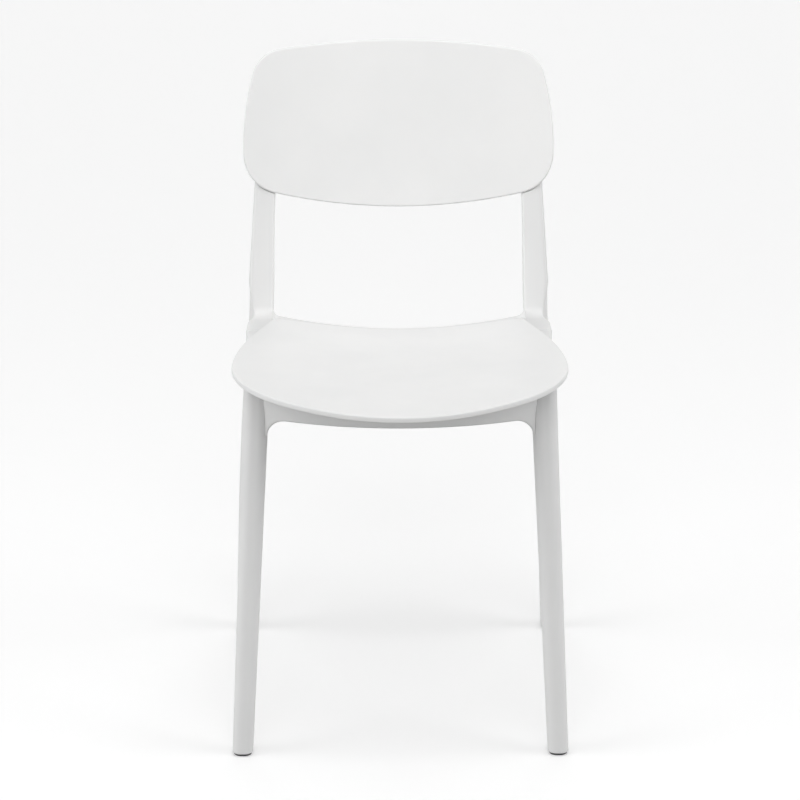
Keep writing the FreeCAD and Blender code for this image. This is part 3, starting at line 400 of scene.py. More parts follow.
# %% [markdown]
# The screws are zinc-plated steel: a bright metal with a faint yellow passivation and fine marks from
# the tool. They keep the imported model's own meshes, because a plain pan head is already
# its true shape.

# %% Screw steel
STEEL_GREY, STEEL_YELLOW = (0.56, 0.56, 0.57), (0.66, 0.65, 0.62)
TINT_SCALE, GLOSS_SCALE, TURNING_SCALE, TURNING_DEPTH = 260.0, 900.0, 3000.0, 1e-5


def plated(name):
    """Metal whose tint, gloss and turning marks are noise."""
    material = bpy.data.materials.new(name)
    material.use_nodes = True
    tree = material.node_tree
    shader = tree.nodes["Principled BSDF"]
    place = tree.nodes.new("ShaderNodeTexCoord").outputs["Object"]
    tint = noise_node(tree, place, TINT_SCALE, 3.0)
    colour = ramp_node(tree, tint, [(0.3, STEEL_GREY), (0.7, STEEL_YELLOW)])
    gloss = range_node(tree, noise_node(tree, place, GLOSS_SCALE, 2.0), 0.28, 0.42)
    marks = bump_node(tree, noise_node(tree, place, TURNING_SCALE, 1.0), TURNING_DEPTH, 0.5)
    for socket, output in (("Base Color", colour), ("Roughness", gloss), ("Normal", marks)):
        tree.links.new(output, shader.inputs[socket])
    shader.inputs["Metallic"].default_value = 1.0
    return material


screw_steel = plated("zinc_plated_steel")
for node in ("side_rail_screws", "apron_screws", "rear_rail_screws", "seat_screws", "backrest_screws"):
    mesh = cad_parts[node].data
    mesh.materials.clear()
    mesh.materials.append(screw_steel)
print("screws plated")

# %% [markdown]
# ## From numbers to a mesh
# Every new piece ends the same way: an array of points and an array of four-cornered faces go into a
# mesh in one call each. The signed volume tells whether the skin faces outwards, and turns it if not.

# %% Mesh maker
made = {}


def add_piece(name, points, quads, triangles, material, slot, nodes, crease=50.0):
    """Makes one closed piece in metres, faces outwards, smooth except where it bends past the crease."""
    quads, triangles = np.asarray(quads, int).reshape(-1, 4), np.asarray(triangles, int).reshape(-1, 3)
    halves = np.vstack([quads[:, [0, 1, 2]], quads[:, [0, 2, 3]], triangles])
    a, b, c = (points[halves[:, k]] for k in range(3))
    volume = np.sum(np.cross(a, b) * c) / 6.0
    if volume < 0:
        quads, triangles = quads[:, ::-1], triangles[:, ::-1]
    mesh = bpy.data.meshes.new(name)
    mesh.vertices.add(len(points))
    mesh.vertices.foreach_set("co", (points * MM).astype(np.float32).ravel())
    corners = np.concatenate([quads.ravel(), triangles.ravel()])
    sizes = np.concatenate([np.full(len(quads), 4), np.full(len(triangles), 3)])
    mesh.loops.add(len(corners))
    mesh.loops.foreach_set("vertex_index", corners)
    mesh.polygons.add(len(sizes))
    mesh.polygons.foreach_set("loop_start", np.concatenate([[0], np.cumsum(sizes)[:-1]]))
    mesh.polygons.foreach_set("use_smooth", np.ones(len(sizes), bool))
    mesh.update(calc_edges=True)
    mesh.validate()
    mesh.set_sharp_from_angle(angle=math.radians(crease))
    piece = bpy.data.objects.new(name, mesh)
    bpy.context.scene.collection.objects.link(piece)
    mesh.materials.append(material)
    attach(piece, "root")
    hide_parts(*nodes)
    made[name] = 2 * len(quads) + len(triangles)
    print("%s: %d triangles, %.1f cm3" % (name, made[name], abs(volume) / 1000))
    return piece


def joined(parts):
    """Several (points, quads, triangles) as one set."""
    points, quads, triangles, start = [], [], [], 0
    for p, q, t in parts:
        points.append(p)
        quads.append(np.asarray(q, int).reshape(-1, 4) + start)
        triangles.append(np.asarray(t, int).reshape(-1, 3) + start)
        start += len(p)
    return np.vstack(points), np.vstack(quads), np.vstack(triangles)


def stacked(rings):
    """Closed skin through a stack of closed rings, each end drawn to a point at its middle."""
    rings = np.asarray(rings)
    levels, count = rings.shape[:2]
    points = np.vstack([rings.reshape(-1, 3), rings[0].mean(0)[None], rings[-1].mean(0)[None]])
    level, spot = np.meshgrid(np.arange(levels - 1), np.arange(count), indexing="ij")
    here, ahead = level * count + spot, level * count + (spot + 1) % count
    quads = np.stack([here, ahead, ahead + count, here + count], -1).reshape(-1, 4)
    spot = np.arange(count)
    first, last = levels * count, levels * count + 1
    start = np.stack([np.full(count, first), (spot + 1) % count, spot], 1)
    end = np.stack([np.full(count, last), spot, (spot + 1) % count], 1)
    end[:, 1:] += (levels - 1) * count
    return points, quads, np.vstack([start, end])


def mirrored(part):
    """The same part on the other side of the chair."""
    points, quads, triangles = part
    return points * [-1, 1, 1], quads[:, ::-1], triangles[:, ::-1]


print("mesh maker ready")

# %% [markdown]
# ## The seat
# The seat is one shell. It could be a flat plate bent by modifiers, but its rim has to keep the same
# thickness all round, so it is worked out as rings instead: each ring is the outline moved inwards by
# some distance, lifted onto the seat's formula. From the middle of the top the rings run outwards, roll
# over the rim in two small arcs, and come back underneath, where the skin gets thinner inside the frame.

# %% Rings of a shell
def rim_profile(thickness, radius, steps=5):
    """(inset, drop) round a rim: quarter circle, flat side, quarter circle."""
    a = np.linspace(np.pi / 2, 0.0, steps + 1)
    upper = np.stack([radius * (1 - np.cos(a)), radius * (1 - np.sin(a))], 1)
    return np.vstack([upper, upper[::-1] * [1, -1] + [0, thickness]])


def easing(count, power=1.6):
    """Shares from 0 to 1, packed towards 1."""
    t = np.linspace(0.0, 1.0, count)
    return 1.0 - (1.0 - t) ** power


# %% Hollows under the seat
seat_ring = close_up(seat_line, 420, 14.0)
seat_normal = outward(seat_ring)
APRON_RADIUS, APRON_THICKNESS = 357.9, 20.0
APRON_BOW = 38.0           # its middle stands this far ahead of the front legs
APRON_CENTRE_Y = front_leg_front(RAIL_BOTTOM) - APRON_BOW + APRON_RADIUS
REAR_RAIL_FRONT, REAR_RAIL_DEPTH = SEAT_REAR - 18.0, 34.0
POCKET_GAP, POCKET_BORDER, RIM_WIDTH = 4.0, 50.0, 12.0
POCKET_ROUND, FRONT_POCKET_ROUND = 8.0, 4.0


def both(a, b, radius=0.0):
    """Where two distances are both inside, with the edge between them rounded."""
    near = np.hypot(np.maximum(a + radius, 0), np.maximum(b + radius, 0))
    return np.minimum(np.maximum(a, b), -radius) + near


def either(a, b, radius=0.0):
    """Where either distance is inside, with the corner between them filled by an arc."""
    near = np.hypot(np.maximum(radius - a, 0), np.maximum(radius - b, 0))
    return np.maximum(np.minimum(a, b), radius) - near


def without(a, b, radius=0.0):
    """The first with the second cut away, its new edge rounded."""
    return both(a, -b, radius)


def middle_pocket(x, y):
    """Distance outside the ribbed hollow: inside the border, the apron and the rear rail."""
    bow = np.hypot(x, y - APRON_CENTRE_Y) - (APRON_RADIUS - APRON_THICKNESS - POCKET_GAP)
    rear = y - (REAR_RAIL_FRONT - POCKET_GAP)
    return both(both(seat_edge(x, y) + POCKET_BORDER, bow, POCKET_ROUND), rear, POCKET_ROUND)


def front_pocket(x, y):
    """Distance outside the shallow hollow between the apron and the front rim."""
    bow = APRON_RADIUS + POCKET_GAP - np.hypot(x, y - APRON_CENTRE_Y)
    return both(seat_edge(x, y) + RIM_WIDTH, bow, FRONT_POCKET_ROUND)


def pocket_ring():
    """Middle pocket's outline in the seat outline's directions, by halving along each ray."""
    ray = seat_ring - SEAT_CENTRE
    near, far = np.zeros(len(ray)), np.ones(len(ray))
    for _ in range(40):
        half = (near + far) / 2
        spot = SEAT_CENTRE + ray * half[:, None]
        hit = middle_pocket(*spot.T) < 0
        near, far = np.where(hit, half, near), np.where(hit, far, half)
    return SEAT_CENTRE + ray * near[:, None]


print("apron's circle: %.0f mm radius" % APRON_RADIUS)


# %% Seat skin
RIM_RADIUS = 1.5
# Wall of the ribbed hollow: how far in and how far up each ring lies.
POCKET_WALL = ((0.3, 0.08), (0.6, 0.35), (0.9, 1.1), (1.2, 1.9), (1.5, 2.5), (1.9, 2.8))
POCKET_SLOPE = 2.5         # width of the step up into the front hollow


def seat_skin():
    """Rings from the middle of the top, over the rim, and back to the middle underneath."""
    inner = seat_ring - seat_normal * RIM_RADIUS
    rings = []

    def lift(plan, drop):
        rings.append(np.column_stack([plan, seat_top(*plan.T) - drop]))

    for share in easing(66)[1:]:
        lift(SEAT_CENTRE + (inner - SEAT_CENTRE) * share, 0.0)
    for inset, drop in rim_profile(RIM, RIM_RADIUS)[1:]:
        lift(seat_ring - seat_normal * inset, drop)
    pocket = pocket_ring()
    for share in np.linspace(0.0, 1.0, 36)[1:]:
        plan = inner + (pocket - inner) * share
        lift(plan, RIM - (RIM - SKIN) * smooth(0.5 - front_pocket(*plan.T) / POCKET_SLOPE))
    away = SEAT_CENTRE - pocket
    for inset, rise in POCKET_WALL:
        lift(pocket + away / np.linalg.norm(away, axis=1)[:, None] * inset, RIM - rise)
    edge = rings[-1][:, :2]
    for share in np.linspace(1.0, 0.0, 34)[1:-1]:
        lift(SEAT_CENTRE + (edge - SEAT_CENTRE) * share, SKIN)
    return stacked(rings)


# %% [markdown]
# Ribs stiffen the thin skin. A rib is a small section carried along a straight line under the seat: a
# wall a little thinner at its foot, with a rounded foot, its root sunk into the skin so that no gap shows.

# %% Ribs under the seat
RIB_CELLS, RIB_HALF, RIB_DEPTH, FRONT_RIB_DEPTH = 10, 1.3, 9.0, 2.8
RIB_SINK, RIB_DRAFT, RIB_STEP = 0.8, 0.8, 7.0
SHORTEST_RIB = 8.0


def rib_section(depth):
    """(sideways, down) points of a rib: root, draft, and a half-round foot."""
    foot = RIB_HALF * RIB_DRAFT
    a = np.linspace(0.0, np.pi, 7)
    tip = np.stack([foot * np.cos(a), depth - foot + foot * np.sin(a)], 1)
    return np.vstack([[RIB_HALF, -RIB_SINK], tip, [-RIB_HALF, -RIB_SINK]])


def rib(start, end, depth):
    """Section carried from one plan point to another under the skin."""
    start, end = np.array(start, float), np.array(end, float)
    length = np.hypot(*(end - start))
    along = (end - start) / length
    side = np.array([-along[1], along[0]])
    section = rib_section(depth)
    stations = start + along * np.linspace(0.0, length, max(3, int(length / RIB_STEP)))[:, None]
    plan = stations[:, None] + section[None, :, :1] * side
    height = seat_top(plan[..., 0], plan[..., 1]) - SKIN - section[None, :, 1]
    return stacked(np.concatenate([plan, height[..., None]], 2))


def stretches(pocket, point, low, high):
    """Where the line of points lies inside a pocket: pairs of its start and end."""
    t = np.arange(low, high, 0.5)
    inside = pocket(*point(t)) < -0.4
    turns = np.flatnonzero(np.diff(inside.astype(int)))
    return [(t[a], t[b]) for a, b in zip(turns[::2], turns[1::2]) if t[b] - t[a] > SHORTEST_RIB]


def seat_ribs():
    """Ribs on an even lattice, each as long as the hollow that it crosses."""
    parts = []
    lines_x = np.linspace(-SEAT_HALF, SEAT_HALF, RIB_CELLS + 1)[1:-1]
    lines_y = np.linspace(SEAT_FRONT, SEAT_REAR, RIB_CELLS + 1)[1:-1]
    for pocket, depth in ((middle_pocket, RIB_DEPTH), (front_pocket, FRONT_RIB_DEPTH)):
        for x in lines_x:
            for a, b in stretches(pocket, lambda t: (np.full_like(t, x), t), SEAT_FRONT, SEAT_REAR):
                parts.append(rib((x, a), (x, b), depth))
        for y in lines_y:
            for a, b in stretches(pocket, lambda t: (t, np.full_like(t, y)), -SEAT_HALF, SEAT_HALF):
                parts.append(rib((a, y), (b, y), depth))
    return parts


add_piece("seat", *joined([seat_skin()] + seat_ribs()), seat_plastic, "seat_plastic", ["seat_shell"])

# %% [markdown]
# ## The back panel
# The panel is made the same way as the seat, on its own outline and its own formula. Where the posts are
# fastened behind it the plastic is thicker, and thick plastic shrinks as it cools: that draws two faint
# upright sink marks into the front face. They are a sixth of a millimetre deep, but they catch light.

# %% Back panel skin
BACK_ROUNDING = 2.6
SINK_X, SINK_WIDTH, SINK_DEPTH = 165.0, 4.5, 0.16
SINK_LENGTH, SINK_FADE = 34.0, 12.0
back_ring = close_up(back_line, 420, 30.0)
back_normal = outward(back_ring)


def sink(x, z):
    """Depth of the two sink marks: a bell curve across, fading out at both ends."""
    fade = smooth((SINK_LENGTH - np.abs(z - SCREWS_Z)) / SINK_FADE)
    return SINK_DEPTH * np.exp(-(((np.abs(x) - SINK_X) / SINK_WIDTH) ** 2)) * fade


def back_skin():
    """Rings from the middle of the front face, round the edge, and back to the middle behind."""
    inner = back_ring - back_normal * BACK_ROUNDING
    rings = []

    def place(plan, depth):
        x, z = plan.T
        front = sink(x, z) if depth == 0.0 else 0.0
        rings.append(np.column_stack([x, panel_front(x, z) + depth + front, z]))

    for share in easing(56)[1:]:
        place(BACK_CENTRE + (inner - BACK_CENTRE) * share, 0.0)
    for inset, depth in rim_profile(BACK_THICKNESS, BACK_ROUNDING)[1:]:
        place(back_ring - back_normal * inset, depth)
    for share in np.linspace(1.0, 0.0, 40)[1:-1]:
        place(BACK_CENTRE + (inner - BACK_CENTRE) * share, BACK_THICKNESS)
    return stacked(rings)


add_piece("back_panel", *back_skin(), back_plastic, "back_plastic", ["backrest_shell"])

# %% [markdown]
# ## Skins found from a formula
# A leg with an arm growing out of it isn't a surface over one grid: the section splits, and soft fillets
# join the parts. So these pieces are described the other way round. A formula says how deep inside the
# plastic a point lies, negative inside and positive outside, and fillets and rounded edges are part of
# that formula. The formula is worked out on a grid that leans and bends with the piece, the skin is
# drawn where it changes sign, and each point is then slid along the slope of the formula until it lies
# exactly on the skin.

# %% Skin of a formula
def skin(depth, us, vs, ws, place):
    """Points and quads where depth is zero, on a grid of u, v and w bent by place."""
    values = depth(*place(*np.meshgrid(us, vs, ws, indexing="ij")))
    inside = values < 0
    low, high = slice(None, -1), slice(1, None)
    count = sum(
        inside[a, b, c].astype(np.int8) for a in (low, high) for b in (low, high) for c in (low, high)
    )
    cells = np.argwhere((count > 0) & (count < 8))
    number = np.full(count.shape, -1)
    number[tuple(cells.T)] = np.arange(len(cells))
    total, crossings = np.zeros((len(cells), 3)), np.zeros(len(cells))
    for axis in range(3):
        for a in (0, 1):
            for b in (0, 1):
                start = np.insert(np.array([a, b]), axis, 0)
                end = np.insert(np.array([a, b]), axis, 1)
                first = values[tuple((cells + start).T)]
                second = values[tuple((cells + end).T)]
                crosses = (first < 0) != (second < 0)
                share = np.where(crosses, first / np.where(crosses, first - second, 1.0), 0.0)
                total += crosses[:, None] * (start + share[:, None] * (end - start))
                crossings += crosses
    index = cells + total / crossings[:, None]
    grid = [np.interp(index[:, k], np.arange(len(t)), t) for k, t in enumerate((us, vs, ws))]
    points = np.stack(place(*grid), 1)
    quads = []
    for axis in range(3):
        across = [k for k in range(3) if k != axis]
        inner = [slice(None)] * 3
        inner[across[0]] = inner[across[1]] = slice(1, -1)
        block = np.moveaxis(inside[tuple(inner)], axis, 0)
        cell = np.moveaxis(number, axis, 0)
        i, j, k = np.nonzero(block[:-1] != block[1:])
        ring = np.stack([cell[i, j, k], cell[i, j + 1, k], cell[i, j + 1, k + 1], cell[i, j, k + 1]], 1)
        flip = block[i, j, k] if axis != 1 else ~block[i, j, k]
        quads.append(np.where(flip[:, None], ring, ring[:, ::-1]))
    return settled(depth, points, np.vstack(quads))


def settled(depth, points, quads, rounds=3, reach=0.4, step=0.02):
    """Evens out the points, then slides each along the slope of depth until depth is zero."""
    a, b = quads.ravel(), np.roll(quads, -1, 1).ravel()
    size = len(points)
    share = np.bincount(a, minlength=size) + np.bincount(b, minlength=size)
    for turn in range(rounds):
        if turn < rounds - 1:
            sums = [np.bincount(a, p[b], size) + np.bincount(b, p[a], size) for p in points.T]
            points = points + 0.5 * (np.stack(sums, 1) / share[:, None] - points)
        for _ in range(3):
            steps = np.eye(3) * step
            slope = [(depth(*(points + e).T) - depth(*(points - e).T)) / (2 * step) for e in steps]
            slope = np.stack(slope, 1)
            move = depth(*points.T) / np.maximum((slope**2).sum(1), 0.25)
            points = points - np.clip(move[:, None] * slope, -reach, reach)
    return points, quads, np.zeros((0, 3), int)


def block(a, b, a0, a1, b0, b1):
    """Distance outside a rectangle in one plane."""
    da = np.abs(a - (a0 + a1) / 2) - (a1 - a0) / 2
    db = np.abs(b - (b0 + b1) / 2) - (b1 - b0) / 2
    return np.hypot(np.maximum(da, 0), np.maximum(db, 0)) + np.minimum(np.maximum(da, db), 0)


def mix(a, b, share):
    """From a to b by a share between 0 and 1."""
    return a + (b - a) * share


def seat_room(x, y, z):
    """Room that the frame leaves for the seat."""
    return np.maximum(seat_edge(x, y) - CLEARANCE, seat_top(x, y) - RIM - CLEARANCE - z)


# %% [markdown]
# ## Rear legs and posts
# In side view a rear leg is a tapering bar with a knee, joined by arcs to an arm that reaches forward
# under the seat. In front view its inner edge is crisp and its outer edge soft, and around the knee the
# outer side slants away from a crease. The arm's inner side is tucked under the seat's edge, so that no
# gap shows beside the corner. The post's front is let in where the back panel lies on it.

# %% Rear leg
LUG_HALF, LUG_TOP = 12.0, SEAT_HEIGHT + 14.0
LUG_LENGTH, LUG_ROOT = 62.0, 12.0   # ahead of the leg's front, and back into it
LUG_BLEND = 24.0           # the leg's sides pass into the arm's over this length
KNEE_ARC, HEEL_ARC = 28.0, 14.0     # below and above the arm
ARC_CHANGE_Z = RAIL_BOTTOM + 18.0
REAR_LUG_X = (rear_inner(RAIL_BOTTOM) + rear_outer(RAIL_BOTTOM)) / 2
REAR_LUG_TIP = post_front(RAIL_BOTTOM) - LUG_LENGTH
TUCK = 3.0                 # the arm runs this far in under the seat's edge
SLANT = 11.0               # a post's front is this much narrower at the knee
SLANT_TOP, SLANT_FADE = SEAT_HEIGHT + 65.0, 62.0
SLANT_FOOT, SLANT_GROWTH = SEAT_HEIGHT - 55.0, 60.0
SOFT_EDGE, CREASE_EDGE, SOFT_REAR_EDGE = 6.0, 2.4, 8.0
CRISP_EDGE, CRISP_REAR_EDGE, LUG_EDGE = 2.0, 7.0, 3.0
FOOT_EDGE, TIP_EDGE = 1.2, 4.0
HEAD_ROOM = 4.7            # radius of the hole for a screw head or its cap
WELL_FLOOR, CAP_FLOOR = 2.8, 3.2    # depth of a screw well and of a cap's seat
CAP_Z = (SCREWS_Z - 23.0, SCREWS_Z + 23.0)
TONGUE_MIDDLE = 7.5        # tongue screw, past the rail's end
REAR_RAIL_SCREW = (REAR_LUG_X - LUG_HALF + TONGUE_MIDDLE, REAR_RAIL_FRONT + 9.0)
PANEL_GAP = 0.9            # round the panel, where the post is let in
SEAT_CUT_EDGE, PANEL_CUT_EDGE, HOLE_EDGE = 0.6, 0.5, 0.4


def screw_well(x, y, z, at):
    """Hole from below for a screw head."""
    return np.maximum(np.hypot(x - at[0], y - at[1]) - HEAD_ROOM, z - RAIL_BOTTOM - WELL_FLOOR)


def rear_leg(x, y, z):
    """Side view of the leg and arm, cut by the sides of the front view, less seat, panel and screws."""
    front, back = post_front(z), post_back(z)
    inner, outer = rear_inner(z), rear_outer(z)
    arm = block(y, z, REAR_LUG_TIP, post_front(RAIL_BOTTOM) + LUG_ROOT, RAIL_BOTTOM, LUG_TOP)
    arc_radius = np.where(z < ARC_CHANGE_Z, KNEE_ARC, HEEL_ARC)
    side = either(np.maximum(front - y, y - back), arm, arc_radius)
    slant = smooth((SLANT_TOP - z) / SLANT_FADE) * smooth((z - SLANT_FOOT) / SLANT_GROWTH)
    outer = outer - SLANT * slant * (1.0 - np.clip((y - front) / (back - front), 0.0, 1.0))
    ahead = smooth((front + 1.0 - y) / LUG_BLEND)
    seat_side = REAR_CORNER_X + REAR_TAPER * (SEAT_REAR - y)
    low = mix(inner, np.minimum(REAR_LUG_X - LUG_HALF, seat_side - TUCK), ahead)
    high = mix(outer, REAR_LUG_X + LUG_HALF, ahead)
    before = y < (front + back) / 2
    soft = mix(np.where(before, mix(SOFT_EDGE, CREASE_EDGE, slant), SOFT_REAR_EDGE), LUG_EDGE, ahead)
    crisp = mix(np.where(before, CRISP_EDGE, CRISP_REAR_EDGE), LUG_EDGE, ahead)
    leg = both(side, np.maximum(low - x, x - high), np.where(x < (low + high) / 2, crisp, soft))
    leg = both(both(leg, GLIDE_HEIGHT - z, FOOT_EDGE), z - POST_TIP, TIP_EDGE)
    leg = without(leg, seat_room(x, y, z), SEAT_CUT_EDGE)
    behind_panel = y - panel_front(x, z) - BACK_THICKNESS - CLEARANCE
    leg = without(leg, np.maximum(back_edge(x, z) - PANEL_GAP, behind_panel), PANEL_CUT_EDGE)
    for cap_z in CAP_Z:
        cap_x = (rear_inner(cap_z) + rear_outer(cap_z)) / 2
        cap_hole = np.hypot(x - cap_x, z - cap_z) - HEAD_ROOM
        leg = without(leg, np.maximum(cap_hole, post_back(cap_z) - CAP_FLOOR - y), HOLE_EDGE)
    for at in ((REAR_LUG_X, REAR_LUG_TIP + TONGUE_MIDDLE), REAR_RAIL_SCREW):
        leg = without(leg, screw_well(x, y, z, at), HOLE_EDGE)
    return leg


def rear_leg_grid(u, v, w):
    """Rows that follow the leg's middle line."""
    return (rear_inner(w) + rear_outer(w)) / 2 + u, (post_front(w) + post_back(w)) / 2 + v, w


def heights(*runs):
    """Levels of a grid: runs of (start, end, step), closer where the shape turns."""
    return np.concatenate([np.arange(*run) for run in runs])


foot_run = (0.9, 9.0, 0.9)
rear_levels = heights(
    foot_run, (10.0, 386.0, 3.0), (386.0, 540.0, 1.25), (541.0, 696.0, 2.0), (696.5, 706.0, 0.9)
)
left_rear = skin(
    rear_leg, np.arange(-24.0, 24.5, 1.15), np.arange(-90.0, 27.0, 1.2), rear_levels, rear_leg_grid
)
for side, part in (("left", left_rear), ("right", mirrored(left_rear))):
    add_piece(side + "_rear_leg_and_post", *part, frame_plastic, "frame_plastic", [side + "_rear_leg"])

# %% [markdown]
# ## Front legs
# A front leg is nearly round: its corner radius is more than two fifths of its width. It leans out and
# forward, gets thinner towards the foot, and has an arm behind its head that meets the side rail.

# %% Front leg
FRONT_LUG_X = front_leg_x(RAIL_BOTTOM) - 0.5
FRONT_LUG_TIP = front_leg_back(RAIL_BOTTOM) + 46.0
FRONT_LUG_TOP = SEAT_HEIGHT + 40.0  # the seat cuts it off lower
ROUNDNESS = 0.42           # corner radius over width


def front_leg(x, y, z):
    """Side view of the leg and arm, cut by the sides of the front view, less seat and screw."""
    front, back = front_leg_front(z), front_leg_back(z)
    width = front_leg_width(z)
    arm = block(y, z, front_leg_back(RAIL_BOTTOM) - LUG_ROOT, FRONT_LUG_TIP, RAIL_BOTTOM, FRONT_LUG_TOP)
    side = either(np.maximum(front - y, y - back), arm, KNEE_ARC)
    behind = smooth((y - back + 1.0) / LUG_BLEND)
    low = mix(front_leg_x(z) - width / 2, FRONT_LUG_X - LUG_HALF, behind)
    high = mix(front_leg_x(z) + width / 2, FRONT_LUG_X + LUG_HALF, behind)
    leg = both(side, np.maximum(low - x, x - high), mix(ROUNDNESS * width, LUG_EDGE, behind))
    leg = both(leg, GLIDE_HEIGHT - z, FOOT_EDGE)
    leg = without(leg, seat_room(x, y, z), HOLE_EDGE)
    return without(leg, screw_well(x, y, z, (FRONT_LUG_X, FRONT_LUG_TIP - TONGUE_MIDDLE)), HOLE_EDGE)


def front_leg_grid(u, v, w):
    """Rows that follow the leg's middle line."""
    return front_leg_x(w) + u, (front_leg_front(w) + front_leg_back(w)) / 2 + v, w


front_levels = heights(foot_run, (10.0, 384.0, 3.0), (384.0, 470.0, 1.25))
left_front = skin(
    front_leg, np.arange(-19.5, 20.0, 1.15), np.arange(-20.0, 68.0, 1.2), front_levels, front_leg_grid
)
for side, part in (("left", left_front), ("right", mirrored(left_front))):
    add_piece(side + "_front_leg_moulding", *part, frame_plastic, "frame_plastic", [side + "_front_leg"])

# %% [markdown]
# ## The front apron
# The apron is a channel on a circle of 358 mm, open below, with cross ribs. Its grid is polar, so the
# rows of faces follow the bow. At each end a gusset sweeps down onto the round leg and stops at a crisp
# line: the leg's own formula, taken away from the apron's, gives that line.

# %% Apron
CHANNEL_WALL, CHANNEL_ROOF, CHANNEL_ROUND = 3.6, RAIL_BOTTOM + 25.0, 1.5
CROSS_RIBS = np.linspace(-120.0, 120.0, 9)
CROSS_RIB_HALF, CROSS_RIB_SETBACK, CROSS_RIB_ROUND = 1.2, 4.0, 0.5
HOLLOW_EDGE, HOLLOW_RIB_EDGE = 0.8, 0.6
APRON_BOTTOM = SEAT_HEIGHT - 29.0
APRON_END = front_leg_x(RAIL_BOTTOM) - front_leg_width(RAIL_BOTTOM) / 2
APRON_SOLID_END, APRON_OVERRUN = 16.0, 5.0
APRON_EDGE, GUSSET = 2.2, 22.0
EMBED = 0.3                # a rail runs this far into its leg


def channel(across, along, z, half_width, end, floor, roof):
    """Hollow of a channel between its walls, ends and cross ribs."""
    rib_gap = np.min([np.abs(along - at) for at in CROSS_RIBS], 0) - CROSS_RIB_HALF
    ribs = both(rib_gap, floor + CROSS_RIB_SETBACK - z, CROSS_RIB_ROUND)
    hollow = both(across - half_width, np.abs(along) - end, CHANNEL_ROUND)
    return without(both(hollow, z - roof, CHANNEL_ROUND), ribs, HOLLOW_RIB_EDGE)


def front_apron(x, y, z):
    """Ring of the apron's circle, with gussets below its ends, less its hollow and the legs."""
    radius = np.hypot(x, y - APRON_CENTRE_Y)
    across = np.abs(radius - APRON_RADIUS + APRON_THICKNESS / 2)
    leg_side = front_leg_x(z) - front_leg_width(z) / 2 - np.abs(x)
    under = np.maximum(either(APRON_BOTTOM - z, leg_side, GUSSET), APRON_BOTTOM - GUSSET - z)
    band = both(across - APRON_THICKNESS / 2, under, APRON_EDGE)
    band = np.maximum(band, z - (seat_top(x, y) - RIM - CLEARANCE))
    band = np.maximum(band, np.abs(x) - APRON_END - APRON_OVERRUN)
    half, end = APRON_THICKNESS / 2 - CHANNEL_WALL, APRON_END - APRON_SOLID_END
    band = without(band, channel(across, x, z, half, end, APRON_BOTTOM, CHANNEL_ROOF), HOLLOW_EDGE)
    return without(band, front_leg(np.abs(x), y, z) + EMBED)


def apron_grid(u, v, w):
    """Polar rows: u runs round the apron's circle and v is the radius."""
    angle = u / APRON_RADIUS
    return v * np.sin(angle), APRON_CENTRE_Y - v * np.cos(angle), w


part = skin(
    front_apron,
    np.linspace(-172.0, 172.0, 260),
    np.arange(APRON_RADIUS - 23.0, APRON_RADIUS + 3.0, 1.1),
    np.arange(396.0, 466.0, 1.2),
    apron_grid,
)
add_piece("front_apron_channel", *part, frame_plastic, "frame_plastic", ["front_apron"])

# %% [markdown]
# ## The rear rail
# The rear rail closes the frame behind. Its top starts level with the seat at each corner, dips 4 mm
# below it in the middle, and turns up into each post in a 10 mm arc, so the chair looks like one moulding.

# %% Rear rail
POST_FILLET, RAIL_DROP = 10.0, 4.0
DROP_HALF = REAR_CORNER_X - 6.0     # the dip ends this far out
REAR_RAIL_REACH, REAR_HOLLOW_END, REAR_ROOF = 176.0, 144.0, SEAT_HEIGHT - 14.0
REAR_RAIL_LOW_EDGE, REAR_RAIL_TOP_EDGE = 3.0, 2.5


def rear_rail(x, y, z):
    """Bar between an underside with gussets and a top that turns up, less seat, hollow and legs."""
    side = rear_inner(z) - np.abs(x)
    leg_gap = np.hypot(np.maximum(side, 0.0), np.maximum(post_front(z) - y, 0.0))
    under = np.maximum(either(RAIL_BOTTOM - z, leg_gap, GUSSET), RAIL_BOTTOM - GUSSET - z)
    drop = RAIL_DROP * np.maximum(1.0 - (x / DROP_HALF) ** 2, 0.0)
    over = either(z - seat_top(x, SEAT_REAR) + drop, side, POST_FILLET)
    over = np.maximum(over, np.minimum(z - KNEE_Z, -side - EMBED))
    across = np.abs(y - REAR_RAIL_FRONT - REAR_RAIL_DEPTH / 2)
    rail = both(across - REAR_RAIL_DEPTH / 2, under, REAR_RAIL_LOW_EDGE)
    rail = np.maximum(both(rail, over, REAR_RAIL_TOP_EDGE), np.abs(x) - REAR_RAIL_REACH)
    rail = without(rail, seat_room(np.abs(x), y, z), 0.3)
    half = REAR_RAIL_DEPTH / 2 - CHANNEL_WALL
    rail = without(rail, channel(across, x, z, half, REAR_HOLLOW_END, RAIL_BOTTOM, REAR_ROOF), HOLLOW_EDGE)
    return without(rail, rear_leg(np.abs(x), y, z) + EMBED)


def plain_grid(u, v, w):
    """Straight rows."""
    return u, v, w


rail_y = np.arange(REAR_RAIL_FRONT - 2.5, REAR_RAIL_FRONT + REAR_RAIL_DEPTH + 3.0, 1.2)
part = skin(rear_rail, np.linspace(-180.0, 180.0, 270), rail_y, np.arange(397.5, 496.0, 1.2), plain_grid)
add_piece("rear_rail_channel", *part, frame_plastic, "frame_plastic", ["rear_rail"])

# %% [markdown]
# ## Side rails
# A side rail is a straight channel between the two arms. It slants outwards towards the rear, so its
# grid is turned along it. Its top is level with the rear arm's, and the seat's edge lies in it.

